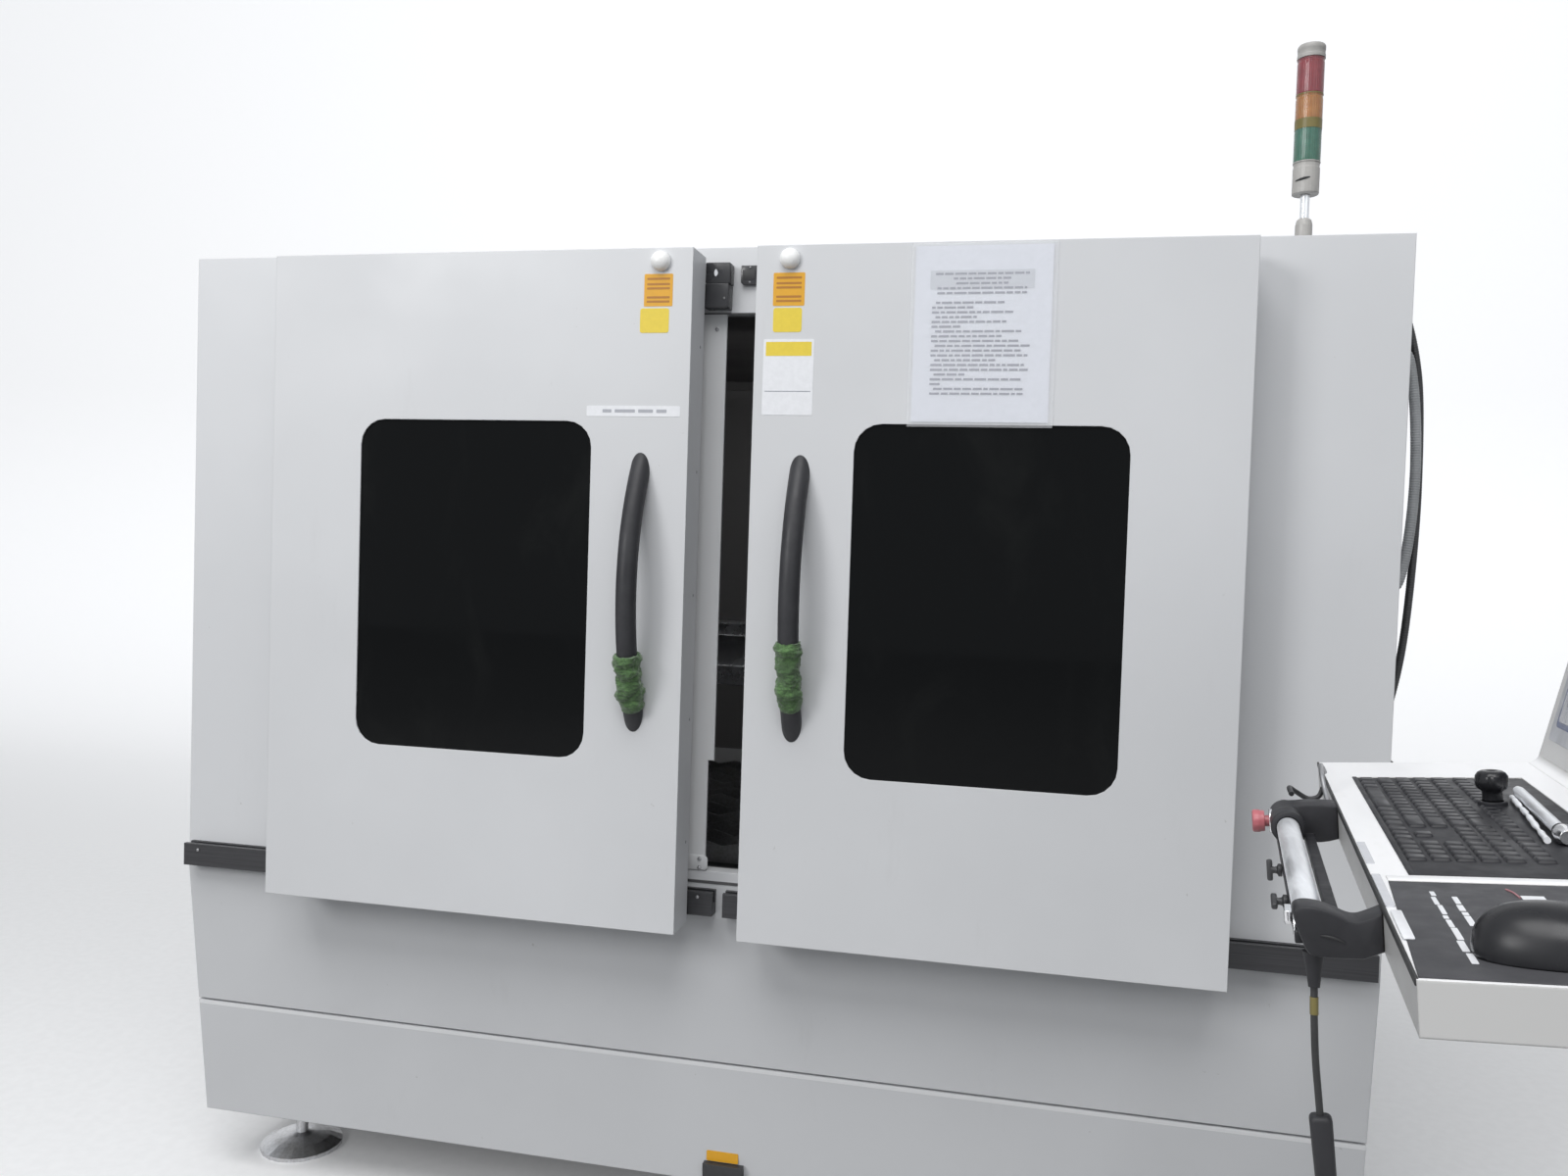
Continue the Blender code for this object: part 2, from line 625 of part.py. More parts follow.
def hose(name, points, radius, look):
    """A hose that both its ends hold against the side wall."""
    curve = bpy.data.curves.new(name, "CURVE")
    curve.dimensions = "3D"
    curve.bevel_depth = radius
    curve.bevel_resolution = 1
    curve.resolution_u = 3
    curve.use_fill_caps = True
    line = curve.splines.new("BEZIER")
    line.bezier_points.add(len(points) - 1)
    last = len(points) - 1
    for index, (knot, point) in enumerate(zip(line.bezier_points, points)):
        knot.co = point
        knot.handle_left_type = "AUTO"
        knot.handle_right_type = "AUTO"
        if index in (0, 1, last - 1, last):
            outward = Vector((0.4 * radius if index < 2 else -0.4 * radius, 0, 0))
            knot.handle_left_type = "FREE"
            knot.handle_right_type = "FREE"
            knot.handle_left = Vector(point) - outward
            knot.handle_right = Vector(point) + outward
    curve.materials.append(LOOKS[look])
    thing = bpy.data.objects.new(name, curve)
    thing.parent = ROOT
    bpy.context.scene.collection.objects.link(thing)


def build_hoses():
    wall = HALF + TOUCH
    grey = [(0, 0), (0.21, 0), (0.58, 0.031), (0.88, 0.24), (1, 0.513), (0.88, 0.786),
            (0.58, 0.969), (0.21, 1), (0, 1)]
    top = CABINET_TOP - GREY_HOSE_DROP
    hose("grey_hose", [(wall + out * GREY_HOSE_BULGE, HOSE_Y, top - down * GREY_HOSE_LENGTH)
                       for out, down in grey], GREY_HOSE_RADIUS, "grey_hose")
    beside = HOSE_Y + GREY_HOSE_RADIUS + BLACK_HOSE_RADIUS + HOSE_GAP
    black = [(0, 0), (0.15, 0), (0.48, 0.021), (0.88, 0.177), (1, 0.422), (0.94, 0.636),
             (0.76, 0.835), (0.45, 0.979), (0.15, 1), (0, 1)]
    top = CABINET_TOP - BLACK_HOSE_DROP
    hose("black_hose", [(wall + out * BLACK_HOSE_BULGE, beside, top - down * BLACK_HOSE_LENGTH)
                        for out, down in black], BLACK_HOSE_RADIUS, "black_hose")


# Doors

def span(side, first, second):
    """Two distances from the middle plane as a low and a high x on one side."""
    return tuple(sorted((side * first, side * second)))


def door_shell(side):
    outer = DOOR_INNER_EDGE + DOOR_WIDTH
    left, right = span(side, DOOR_INNER_EDGE, outer)
    shell = box((left, DOOR_FRONT, DOOR_BOTTOM), (right, DOOR_REAR, DOOR_TOP))
    pocket = box((left + SHEET, DOOR_FRONT + SHEET, DOOR_BOTTOM + SHEET),
                 (right - SHEET, DOOR_REAR - SHEET, DOOR_TOP - SHEET))
    lip = SHEET + DOOR_RETURN
    mouth = box((left + lip, DOOR_REAR - 2 * SHEET, DOOR_BOTTOM + lip),
                (right - lip, DOOR_REAR + SHEET, DOOR_TOP - lip))
    hole_left, hole_right = span(side, WINDOW_INNER, WINDOW_INNER + WINDOW_WIDTH)
    hole = prism(rounded_rect((hole_left, WINDOW_BOTTOM), (hole_right, WINDOW_TOP), WINDOW_CORNER),
                 DOOR_FRONT - SHEET, DOOR_FRONT + 2 * SHEET, "y")
    return cut(shell, join(pocket, mouth), hole)


def door_pane(side):
    left, right = span(side, WINDOW_INNER - PANE_MARGIN,
                       WINDOW_INNER + WINDOW_WIDTH + PANE_MARGIN)
    outline = rounded_rect((left, WINDOW_BOTTOM - PANE_MARGIN),
                           (right, WINDOW_TOP + PANE_MARGIN), WINDOW_CORNER + PANE_MARGIN)
    front = DOOR_FRONT + SHEET + TOUCH
    return prism(outline, front, front + PANE_THICKNESS, "y")


def shoe(side, inner, rail_top, bury, front):
    """An arm over a rail with a blade that runs in the rail's groove."""
    left, right = span(side, inner, inner + STILE_WIDTH)
    low = rail_top + ARM_CLEARANCE
    blade = GROOVE_WIDTH / 2 - RUNNING
    arm = box((left, front, low), (right, GROOVE_MIDDLE + blade, low + ARM_HEIGHT))
    tongue = box((left, GROOVE_MIDDLE - blade, rail_top - bury),
                 (right, GROOVE_MIDDLE + blade - TOUCH, low + ARM_HEIGHT - RUNNING))
    return join(arm, tongue)


def door_carrier(side):
    """The frame inside a door: two stiles, two bars and the four shoes that run on the rails."""
    front = DOOR_FRONT + SHEET + TOUCH
    back = front + CARRIER_DEPTH
    low = LOWER_RAIL_TOP + ARM_CLEARANCE - 0.010
    high = UPPER_RAIL_TOP + ARM_CLEARANCE + ARM_HEIGHT
    frame = None
    for inner in (STILE_INNER, STILE_OUTER):
        left, right = span(side, inner, inner + STILE_WIDTH)
        stile = box((left, front, low), (right, back, high - TOUCH))
        frame = join(frame, stile) if frame else stile
    left, right = span(side, STILE_INNER + RUNNING, STILE_OUTER + STILE_WIDTH - RUNNING)
    for bottom in (low + RUNNING, high - STILE_WIDTH):
        bar = box((left, front + RUNNING, bottom), (right, back - RUNNING, bottom + 0.030))
        frame = join(frame, bar)
    meet = back - 0.006
    for inner in (STILE_INNER, UPPER_SHOE_OUTER):
        frame = join(frame, shoe(side, inner + TOUCH, UPPER_RAIL_TOP,
                                 GROOVE_DEPTH - TOUCH, meet))
    for inner in (STILE_INNER, STILE_OUTER):
        frame = join(frame, shoe(side, inner + TOUCH, LOWER_RAIL_TOP, 0.015, meet))
    return frame


def handle_angles():
    end = math.asin(HANDLE_CHORD / 2 / BOW_RADIUS) + 2.2 * HANDLE_RADIUS / BOW_RADIUS
    return [end * (2 * step / HANDLE_STEPS - 1) for step in range(HANDLE_STEPS + 1)]


def wrap_angles(start, length):
    """Where the padding runs on the bow: its start above the lower end, and its height."""
    low = math.asin((start - HANDLE_CHORD / 2) / BOW_RADIUS)
    high = math.asin((start + length - HANDLE_CHORD / 2) / BOW_RADIUS)
    return [low + (high - low) * step / WRAP_STEPS for step in range(WRAP_STEPS + 1)]


def door_side_cutter(x, gap):
    return box((x - 0.1, DOOR_FRONT - gap, HANDLE_Z - 0.4), (x + 0.1, DOOR_FRONT + 0.2, HANDLE_Z + 0.4))


def build_door(word, side):
    slide = pivot("door_slide_" + word, (side * DOOR_INNER_EDGE, DOOR_REAR, DOOR_BOTTOM), ROOT)
    place("door_" + word, door_shell(side), "panel_paint", slide)
    place("window_" + word, door_pane(side), "dark_glass", slide, smooth=True)
    place("door_carrier_" + word, door_carrier(side), "zinc_steel", slide)
    x = side * HANDLE_X
    bow = cut(bow_tube(x, handle_angles(), HANDLE_RADIUS), door_side_cutter(x, TOUCH))
    place("handle_" + word, bow, "black_plastic", slide, smooth=True)
    clear_bore = (HANDLE_RADIUS + 2 * TOUCH) / math.cos(math.pi / HANDLE_SIDES)
    start, length, radius = HANDLE_WRAPS[word]
    wrap = bow_tube(x, wrap_angles(start, length), radius, clear_bore)
    place("handle_wrap_" + word, cut(wrap, door_side_cutter(x, 2 * TOUCH)), "green_wrap", slide,
          smooth=True)
    profile = [(0, 0), (KNOB_RADIUS, 0), (KNOB_RADIUS, 0.003)]
    for step in range(1, 6):
        angle = math.radians(18 * step)
        profile.append((KNOB_RADIUS * math.cos(angle) if step < 5 else 0,
                        0.003 + (KNOB_HEIGHT - 0.003) * math.sin(angle)))
    knob = turned(profile, (side * KNOB_X, DOOR_FRONT - TOUCH, KNOB_Z), (0, -1, 0), 20)
    place("door_knob_" + word, knob, "white_paint", slide, smooth=True)


# Stack light

def build_stack_light():
    radius = STACK_RADIUS
    foot = [(0, ROOF_TOP + TOUCH), (0.026, ROOF_TOP + TOUCH), (0.026, ROOF_TOP + 0.006),
            (0.0150, ROOF_TOP + 0.010), (0.0145, STACK_FOOT_TOP - 0.012),
            (0.0125, STACK_FOOT_TOP - 0.003), (0.0095, STACK_FOOT_TOP), (0, STACK_FOOT_TOP)]
    place("stack_foot", turned(foot, (STACK_X, STACK_Y, 0), sides=20), "ivory_plastic", ROOT,
          smooth=True)
    place("stack_pole", rod((STACK_X, STACK_Y, STACK_FOOT_TOP + TOUCH), (0, 0, 1), 0.008,
                            STACK_BASE_BOTTOM - STACK_FOOT_TOP - 2 * TOUCH, 16),
          "aluminium", ROOT, smooth=True)
    levels = (("stack_base", "ivory_plastic", STACK_BASE_BOTTOM, STACK_GREEN_BOTTOM),
              ("stack_lens_green", "green_lens", STACK_GREEN_BOTTOM, STACK_AMBER_BOTTOM),
              ("stack_lens_amber", "amber_lens", STACK_AMBER_BOTTOM, STACK_RED_BOTTOM),
              ("stack_lens_red", "red_lens", STACK_RED_BOTTOM, STACK_CAP_BOTTOM))
    for name, look, low, high in levels:
        low += TOUCH
        edge = radius - 0.0008
        profile = [(0, low), (edge, low), (radius, low + 0.0015), (radius, high - 0.010),
                   (edge, high - 0.009), (edge, high), (0, high)]
        place(name, turned(profile, (STACK_X, STACK_Y, 0), sides=24), look, ROOT, smooth=True)
    low = STACK_CAP_BOTTOM + TOUCH
    cap = [(0, low), (radius + 0.0008, low), (radius + 0.0008, STACK_TOP - 0.006),
           (radius - 0.002, STACK_TOP - 0.001), (0.010, STACK_TOP), (0, STACK_TOP)]
    place("stack_cap", turned(cap, (STACK_X, STACK_Y, 0), sides=24), "ivory_plastic", ROOT,
          smooth=True)


# Cutting bed and motion system

def slat(y):
    pitch = 2 * (BED_HALF - BED_WALL) / SLAT_TEETH
    left = -BED_HALF + BED_WALL
    outline = [(left, SLAT_BOTTOM)]
    for tooth in range(SLAT_TEETH):
        outline.append((left + tooth * pitch, SLAT_TOP - SLAT_TOOTH))
        outline.append((left + (tooth + 0.5) * pitch, SLAT_TOP))
    outline += [(-left, SLAT_TOP - SLAT_TOOTH), (-left, SLAT_BOTTOM)]
    return prism(outline, y - SLAT_THICKNESS / 2, y + SLAT_THICKNESS / 2, "y")


def build_bed():
    seat = SLAT_BOTTOM - TOUCH
    hopper = box((-BED_HALF, BED_FRONT, DECK_TOP + TOUCH), (BED_HALF, BED_REAR, seat))
    chute = box((-BED_HALF + BED_WALL, BED_FRONT + BED_WALL, DECK_TOP - 0.05),
                (BED_HALF - BED_WALL, BED_REAR - BED_WALL, seat + 0.05))
    place("bed_frame", cut(hopper, chute), "bed_paint", ROOT)
    grid = None
    for side in (-1, 1):
        low, high = span(side, BED_HALF - BED_WALL - 0.004, BED_HALF - TOUCH)
        bar = box((low, BED_FRONT + TOUCH, SLAT_BOTTOM + TOUCH),
                  (high, BED_REAR - TOUCH, SLAT_TOP - SLAT_TOOTH - 0.004))
        if grid is None:
            grid = bar
            continue
        first = slat(BED_FRONT + 2 * BED_WALL)
        grid = join(join(grid, first), bar)
    room = BED_REAR - BED_FRONT - 4 * BED_WALL
    for number in range(1, SLAT_COUNT):
        grid = join(grid, slat(BED_FRONT + 2 * BED_WALL + room * number / (SLAT_COUNT - 1)))
    place("slat_grid", grid, "zinc_steel", ROOT)


def build_motion():
    half = WAY_WIDTH / 2
    for name, side in (("way_left", -1), ("way_right", 1)):
        x = side * WAY_X
        wall = box((x - half, WAY_FRONT, DECK_TOP + TOUCH), (x + half, WAY_REAR, WAY_TOP))
        rail = box((x - LINEAR_RAIL / 2, WAY_FRONT + 0.01, WAY_TOP - RUNNING),
                   (x + LINEAR_RAIL / 2, WAY_REAR - 0.01, WAY_RAIL_TOP))
        place(name, join(wall, rail), "bed_paint", ROOT)
    gantry_slide = pivot("gantry_slide", (0, GANTRY_Y, GANTRY_BOTTOM), ROOT)
    reach = WAY_X + half + 0.02
    beam = box((-reach, GANTRY_FRONT, GANTRY_BOTTOM), (reach, GANTRY_FRONT + GANTRY_DEPTH, GANTRY_TOP))
    for side in (-1, 1):
        x = side * WAY_X
        beam = join(beam, box((x - 0.035, GANTRY_Y - TRUCK_HALF, GANTRY_BOTTOM - TRUCK_HEIGHT),
                              (x + 0.035, GANTRY_Y + TRUCK_HALF, GANTRY_BOTTOM + 0.012)))
    rail_reach = WAY_X - half - 0.02
    for low in (GANTRY_BOTTOM + 0.030, GANTRY_TOP - 0.030 - LINEAR_RAIL):
        beam = join(beam, box((-rail_reach, GANTRY_FRONT - LINEAR_RAIL, low),
                              (rail_reach, GANTRY_FRONT + RUNNING, low + LINEAR_RAIL)))
    place("gantry", beam, "aluminium", gantry_slide)
    carriage_slide = pivot("carriage_slide", (0, CARRIAGE_REAR - GANTRY_Y, 0), gantry_slide)
    carriage = box((-CARRIAGE_HALF, CARRIAGE_FRONT, GANTRY_BOTTOM + 0.010),
                   (CARRIAGE_HALF, CARRIAGE_REAR, GANTRY_TOP + 0.040))
    place("x_carriage", carriage, "aluminium", carriage_slide)
    z_slide = pivot("z_slide_axis", (0, SLIDE_REAR - CARRIAGE_REAR, 0), carriage_slide)
    middle = GANTRY_BOTTOM + GANTRY_HEIGHT / 2
    block = box((-SLIDE_HALF, SLIDE_FRONT, GANTRY_BOTTOM - SLIDE_BELOW),
                (SLIDE_HALF, SLIDE_REAR, GANTRY_TOP + SLIDE_ABOVE))
    clamp = box((-CLAMP_HALF, HEAD_Y - CLAMP_REACH, middle - CLAMP_BELOW),
                (CLAMP_HALF, SLIDE_FRONT + RUNNING, middle + CLAMP_ABOVE))
    motor = box((-MOTOR_HALF, SLIDE_FRONT + RUNNING, GANTRY_TOP + SLIDE_ABOVE - RUNNING),
                (MOTOR_HALF, SLIDE_REAR - RUNNING, GANTRY_TOP + SLIDE_ABOVE + MOTOR_HEIGHT))
    bore = rod((0, HEAD_Y, middle - HEAD_LENGTH / 2), (0, 0, 1),
               (HEAD_RADIUS + TOUCH) / math.cos(math.pi / 24), HEAD_LENGTH)
    place("z_slide", cut(join(block, clamp, motor), bore), "bed_paint", z_slide)
    shares = [(0, 0), (0.08, 0), (0.45, 0.045), (0.45, 0.063), (0.67, 0.073), (0.67, 0.134),
              (0.92, 0.151), (0.92, 0.341), (1, 0.351), (1, 0.805), (0.72, 0.854), (0.47, 0.868),
              (0.47, 1), (0, 1)]
    head = [(across * HEAD_RADIUS, NOZZLE_TIP + up * HEAD_LENGTH) for across, up in shares]
    place("cutting_head", turned(head, (0, HEAD_Y, 0)), "aluminium", z_slide, smooth=True)


# Console on its swing arm

def arm_ends():
    """The two pivots of the arm, in the design frame, and the console's tilt axis."""
    turn = Matrix.Rotation(math.radians(CONSOLE_YAW), 4, "Z")
    tilt = Matrix.Rotation(math.radians(CONSOLE_TILT), 4, "Y")
    middle = Vector(CONSOLE_CORNER) + turn @ tilt @ Vector((TILT_X, TILT_Y, -TILT_DROP))
    return Vector((*ARM_PIVOT, ARM_MIDDLE)), middle


def build_arm():
    wall_end, axis = arm_ends()
    barrel_low = ARM_MIDDLE - BARREL_HEIGHT / 2
    barrel_high = ARM_MIDDLE + BARREL_HEIGHT / 2
    x, y = ARM_PIVOT
    plate = box((HALF + TOUCH, y - 0.055, barrel_low - 0.055),
                (HALF + 0.012, y + 0.055, barrel_high + 0.035))
    bracket = plate
    for low in (barrel_low - TOUCH - BRACKET_PLATE, barrel_high + TOUCH):
        ear = box((HALF + 0.010, y - 0.030, low), (x, y + 0.030, low + BRACKET_PLATE))
        knuckle = rod((x, y, low), (0, 0, 1), BARREL_RADIUS, BRACKET_PLATE)
        bracket = join(bracket, ear, knuckle)
    pin_low = barrel_low - TOUCH - BRACKET_PLATE
    pin = rod((x, y, pin_low - 0.004), (0, 0, 1), PIN_RADIUS, BARREL_HEIGHT + 2 * BRACKET_PLATE + 0.010)
    place("arm_bracket", join(bracket, pin), "frame_paint", ROOT, smooth=True)

    swing = pivot("arm_swing", (x, y, ARM_MIDDLE), ROOT)
    along = Vector((axis.x, axis.y, ARM_MIDDLE)) - wall_end
    heading = math.atan2(along.y, along.x)
    beam = box((0, -ARM_HALF_WIDTH, -ARM_DEPTH / 2), (along.length, ARM_HALF_WIDTH, ARM_DEPTH / 2))
    bmesh.ops.rotate(beam, cent=(0, 0, 0), matrix=Matrix.Rotation(heading, 3, "Z"), verts=beam.verts)
    barrel = rod((0, 0, -BARREL_HEIGHT / 2), (0, 0, 1), BARREL_RADIUS, BARREL_HEIGHT)
    tip = rod((along.x, along.y, -ARM_DEPTH / 2 + TOUCH), (0, 0, 1), BARREL_RADIUS,
              ARM_DEPTH - 2 * TOUCH)
    bore = rod((0, 0, -BARREL_HEIGHT), (0, 0, 1), (PIN_RADIUS + TOUCH) / math.cos(math.pi / 24),
               2 * BARREL_HEIGHT)
    place("swing_arm", cut(join(beam, barrel, tip), bore), "frame_paint", swing, local=True,
          smooth=True)

    turn = pivot("console_turn", (along.x, along.y, ARM_DEPTH / 2), swing,
                 (0, 0, math.radians(CONSOLE_YAW)))
    rise = axis.z - ARM_TOP
    post = rod((0, 0, TOUCH), (0, 0, 1), 0.022, rise)
    base = rod((0, 0, TOUCH + 0.0001), (0, 0, 1), BARREL_RADIUS, 0.010)
    cross = rod((0, -TILT_BARREL_HALF, rise), (0, 1, 0), TILT_BARREL_RADIUS, 2 * TILT_BARREL_HALF)
    stub = TILT_BARREL_HALF + LUG_THICKNESS
    axle = rod((0, -stub, rise), (0, 1, 0), PIN_RADIUS, 2 * stub)
    place("console_yoke", join(post, base, cross, axle), "frame_paint", turn, local=True,
          smooth=True)
    hinge = pivot("console_tilt", (0, 0, rise), turn, (0, math.radians(CONSOLE_TILT), 0))
    return pivot("console_frame", (-TILT_X, -TILT_Y, TILT_DROP), hinge), hinge


def screen_frame():
    """From the screen's own axes, with z up its face, to the console frame."""
    return (Matrix.Translation((SCREEN_BASE, 0, 0))
            @ Matrix.Rotation(math.radians(SCREEN_LEAN), 4, "Y"))


def display_box(margin, depth, front=0.0):
    top = SCREEN_HEIGHT - DISPLAY_INSET
    far = -(SCREEN_LENGTH - DISPLAY_LENGTH) / 2
    shape = box((front, far - DISPLAY_LENGTH - margin, top - DISPLAY_HEIGHT - margin),
                (depth, far + margin, top + margin))
    bmesh.ops.transform(shape, matrix=screen_frame(), verts=shape.verts)
    return shape


def build_housing(console):
    tray = box((0, -TRAY_LENGTH, -TRAY_THICKNESS), (TRAY_WIDTH, 0, 0))
    screen = box((0, -SCREEN_LENGTH, -0.012), (SCREEN_THICKNESS, 0, SCREEN_HEIGHT))
    bmesh.ops.transform(screen, matrix=screen_frame(), verts=screen.verts)
    well = box((KEYBOARD_LEFT, KEYBOARD_NEAR, -KEYBOARD_DEPTH),
               (KEYBOARD_RIGHT, KEYBOARD_FAR, KEYBOARD_DEPTH))
    housing = cut(join(tray, screen), well, display_box(0.0005, DISPLAY_THICKNESS, -0.02))
    clear_hole = (PIN_RADIUS + TOUCH) / math.cos(math.pi / 24)
    for side in (-1, 1):
        first = TILT_Y + side * (TILT_BARREL_HALF + TOUCH)
        second = first + side * LUG_THICKNESS
        outline = [(TILT_X - 0.030, -TRAY_THICKNESS + RUNNING), (TILT_X - 0.018, -TILT_DROP - 0.012),
                   (TILT_X - 0.008, -TILT_DROP - 0.018), (TILT_X + 0.008, -TILT_DROP - 0.018),
                   (TILT_X + 0.018, -TILT_DROP - 0.012), (TILT_X + 0.030, -TRAY_THICKNESS + RUNNING)]
        lug = prism(outline, first, second, "y")
        hole = rod((TILT_X, TILT_Y - 0.2, -TILT_DROP), (0, 1, 0), clear_hole, 0.4)
        housing = join(housing, cut(lug, hole))
    place("console_housing", housing, "console_white", console, local=True)
    place("display", display_box(-TOUCH, DISPLAY_THICKNESS - TOUCH), "dark_glass", console,
          local=True)


def build_keyboard(console):
    gap = TOUCH
    low = -KEYBOARD_DEPTH + gap
    plate = box((KEYBOARD_LEFT + gap, KEYBOARD_NEAR + gap, low),
                (KEYBOARD_RIGHT - gap, KEYBOARD_FAR - gap, 0))
    shape = bmesh.new()
    columns, rows = KEY_COLUMNS, KEY_ROWS
    start_x = KEYBOARD_LEFT + 0.008
    start_y = KEYBOARD_NEAR + 0.012
    grid = [[shape.verts.new((start_x + row * KEY_PITCH, start_y + column * KEY_PITCH, -0.001))
             for column in range(columns + 1)] for row in range(rows + 1)]
    tops = [shape.faces.new((grid[row][column], grid[row + 1][column],
                             grid[row + 1][column + 1], grid[row][column + 1]))
            for row in range(rows) for column in range(columns)]
    rim = ([grid[0][column] for column in range(columns)]
           + [grid[row][-1] for row in range(rows)]
           + [grid[-1][column] for column in range(columns, 0, -1)]
           + [grid[row][0] for row in range(rows, 0, -1)])
    drop = [shape.verts.new(vert.co + Vector((0, 0, -0.002))) for vert in rim]
    for index in range(len(rim)):
        after = (index + 1) % len(rim)
        shape.faces.new((rim[index], rim[after], drop[after], drop[index]))
    shape.faces.new(drop)
    bmesh.ops.recalc_face_normals(shape, faces=shape.faces)
    bmesh.ops.inset_individual(shape, faces=tops, thickness=0.0014, depth=0.0)
    raised = bmesh.ops.extrude_discrete_faces(shape, faces=tops)["faces"]
    for face in raised:
        bmesh.ops.translate(shape, vec=(0, 0, 0.004), verts=face.verts)
    keys = shape
    collar = rod((*JOG_PLACE, -0.002), (0, 0, 1), 0.013, 0.002 + JOG_COLLAR, 20)
    bore = rod((*JOG_PLACE, low + 0.0006), (0, 0, 1), JOG_STEM + 2 * TOUCH, 0.02, 20)
    place("keyboard", cut(join(plate, keys, collar), bore), "black_plastic", console, local=True)
    press = pivot("jog_press", (*JOG_PLACE, 0), console)
    stem = low + 0.0006 + TOUCH + JOG_TRAVEL
    base = JOG_COLLAR + TOUCH + JOG_TRAVEL
    top = JOG_HEIGHT
    knob = [(0, stem), (JOG_STEM, stem), (JOG_STEM, base), (0.0112, base), (0.0095, base + 0.007),
            (0.0088, base + 0.012), (JOG_RADIUS * 0.9, base + 0.014), (JOG_RADIUS, base + 0.018),
            (JOG_RADIUS * 0.93, top - 0.004), (JOG_RADIUS * 0.6, top - 0.0008), (0, top)]
    place("jog_button", turned(knob, (0, 0, 0), sides=20), "black_plastic", press, local=True,
          smooth=True)


def build_mouse(console):
    shape = bmesh.new()
    bmesh.ops.create_uvsphere(shape, u_segments=16, v_segments=10, radius=1.0)
    for vert in shape.verts:
        vert.co.x *= 0.058
        vert.co.y *= 0.031
        vert.co.z *= 0.036 * (1.0 - 0.25 * vert.co.x / 0.058)
    bmesh.ops.translate(shape, vec=(*MOUSE_PLACE, 0), verts=shape.verts)
    x, y = MOUSE_PLACE
    floor = box((x - 0.1, y - 0.1, -0.1), (x + 0.1, y + 0.1, 0.0006))
    place("mouse", cut(shape, floor), "black_plastic", console, local=True, smooth=True)


def far_bracket_outline():
    """From the tray's edge over the tube's hub and back below it."""
    outline = [(-TOUCH, -TRAY_THICKNESS + RUNNING), (-TOUCH, 0), (-0.028, 0.002)]
    for step in range(9):
        angle = math.radians(90 + 22.5 * step)
        outline.append((GRIP_X + GRIP_HUB_RADIUS * math.cos(angle),
                        -GRIP_DROP + GRIP_HUB_RADIUS * math.sin(angle)))
    return outline + [(-0.021, -TRAY_THICKNESS - 0.004)]


def near_bracket_outline():
    """A cast saddle: dished next to the tray, crowned over the tube, tapered below it."""
    top = -GRIP_DROP + 0.0143
    foot = -TRAY_THICKNESS - 0.0045
    return [(-TOUCH, -TRAY_THICKNESS + RUNNING), (-TOUCH, top - 0.0022), (-0.0206, top - 0.0096),
            (-0.030, top - 0.0068), (-0.0416, top - 0.0021), (GRIP_X - 0.0028, top),
            (GRIP_X - 0.0121, top - 0.0039), (GRIP_X - 0.0098, top - 0.0156),
            (GRIP_X - 0.0063, top - 0.0265), (GRIP_X - 0.0036, foot + 0.0012), (-0.0046, foot)]


def build_grip(console):
    middle = -GRIP_DROP
    far_end = GRIP_FAR + GRIP_HUB_LENGTH
    far_block = prism(far_bracket_outline(), far_end - FAR_BRACKET, far_end, "y")
    hub = rod((GRIP_X, GRIP_FAR, middle), (0, 1, 0), GRIP_HUB_RADIUS + RUNNING,
              GRIP_HUB_LENGTH - RUNNING, 24)
    near_block = prism(near_bracket_outline(), GRIP_NEAR - NEAR_BRACKET, GRIP_NEAR, "y")
    run = (GRIP_NEAR - 0.005, far_end - FAR_BRACKET + 0.010)
    bar = box((GRIP_BAR_X, run[0], GRIP_RAIL_TOP - 0.010), (GRIP_BAR_X + 0.010, run[1], GRIP_RAIL_TOP))
    rail = box((GRIP_RAIL_X, run[0], GRIP_RAIL_TOP - GRIP_RAIL_HEIGHT),
               (GRIP_RAIL_X + 0.008, run[1], GRIP_RAIL_TOP - 0.0001))
    stop_y = far_end - FAR_BRACKET / 2
    stop_z = middle - 0.0035
    stop_face = GRIP_X - STOP_COLLAR
    collar = rod((GRIP_X, stop_y, stop_z), (-1, 0, 0), 0.0125, STOP_COLLAR, 20)
    bore = rod((stop_face + 0.014, stop_y, stop_z), (-1, 0, 0), STOP_STEM + 2 * TOUCH, 0.03, 20)
    frame = cut(join(far_block, hub, bar, rail, near_block, collar), bore)
    place("grip_frame", frame, "black_plastic", console, local=True, smooth=True)
    tube = rod((GRIP_X, GRIP_NEAR + TOUCH, -GRIP_DROP), (0, 1, 0), GRIP_RADIUS,
               GRIP_FAR - GRIP_NEAR - 2 * TOUCH, 20)
    place("grip_tube", tube, "aluminium", console, local=True, smooth=True)
    press = pivot("stop_press", (stop_face, stop_y, stop_z), console)
    start = STOP_TRAVEL + RUNNING
    button = [(0, start - 0.012), (STOP_STEM, start - 0.012), (STOP_STEM, start),
              (STOP_RADIUS * 0.85, start), (STOP_RADIUS, start + 0.003),
              (STOP_RADIUS, start + 0.009), (STOP_RADIUS * 0.8, start + 0.013), (0, start + 0.0145)]
    place("stop_button", turned(button, (0, 0, 0), (-1, 0, 0), 20), "red_button", press,
          local=True, smooth=True)
    for name, y in LEVER_PLACES.items():
        axis = pivot(name + "_axis", (GRIP_RAIL_X - TOUCH, y, GRIP_RAIL_TOP - GRIP_RAIL_HEIGHT / 2),
                     console)
        hub = rod((0, 0, 0), (-1, 0, 0), 0.006, 0.009, 16)
        paddle = box((-0.0085, -0.004, 0.002), (-0.0045, 0.004, 0.024))
        place(name, join(hub, paddle), "black_plastic", axis, local=True)


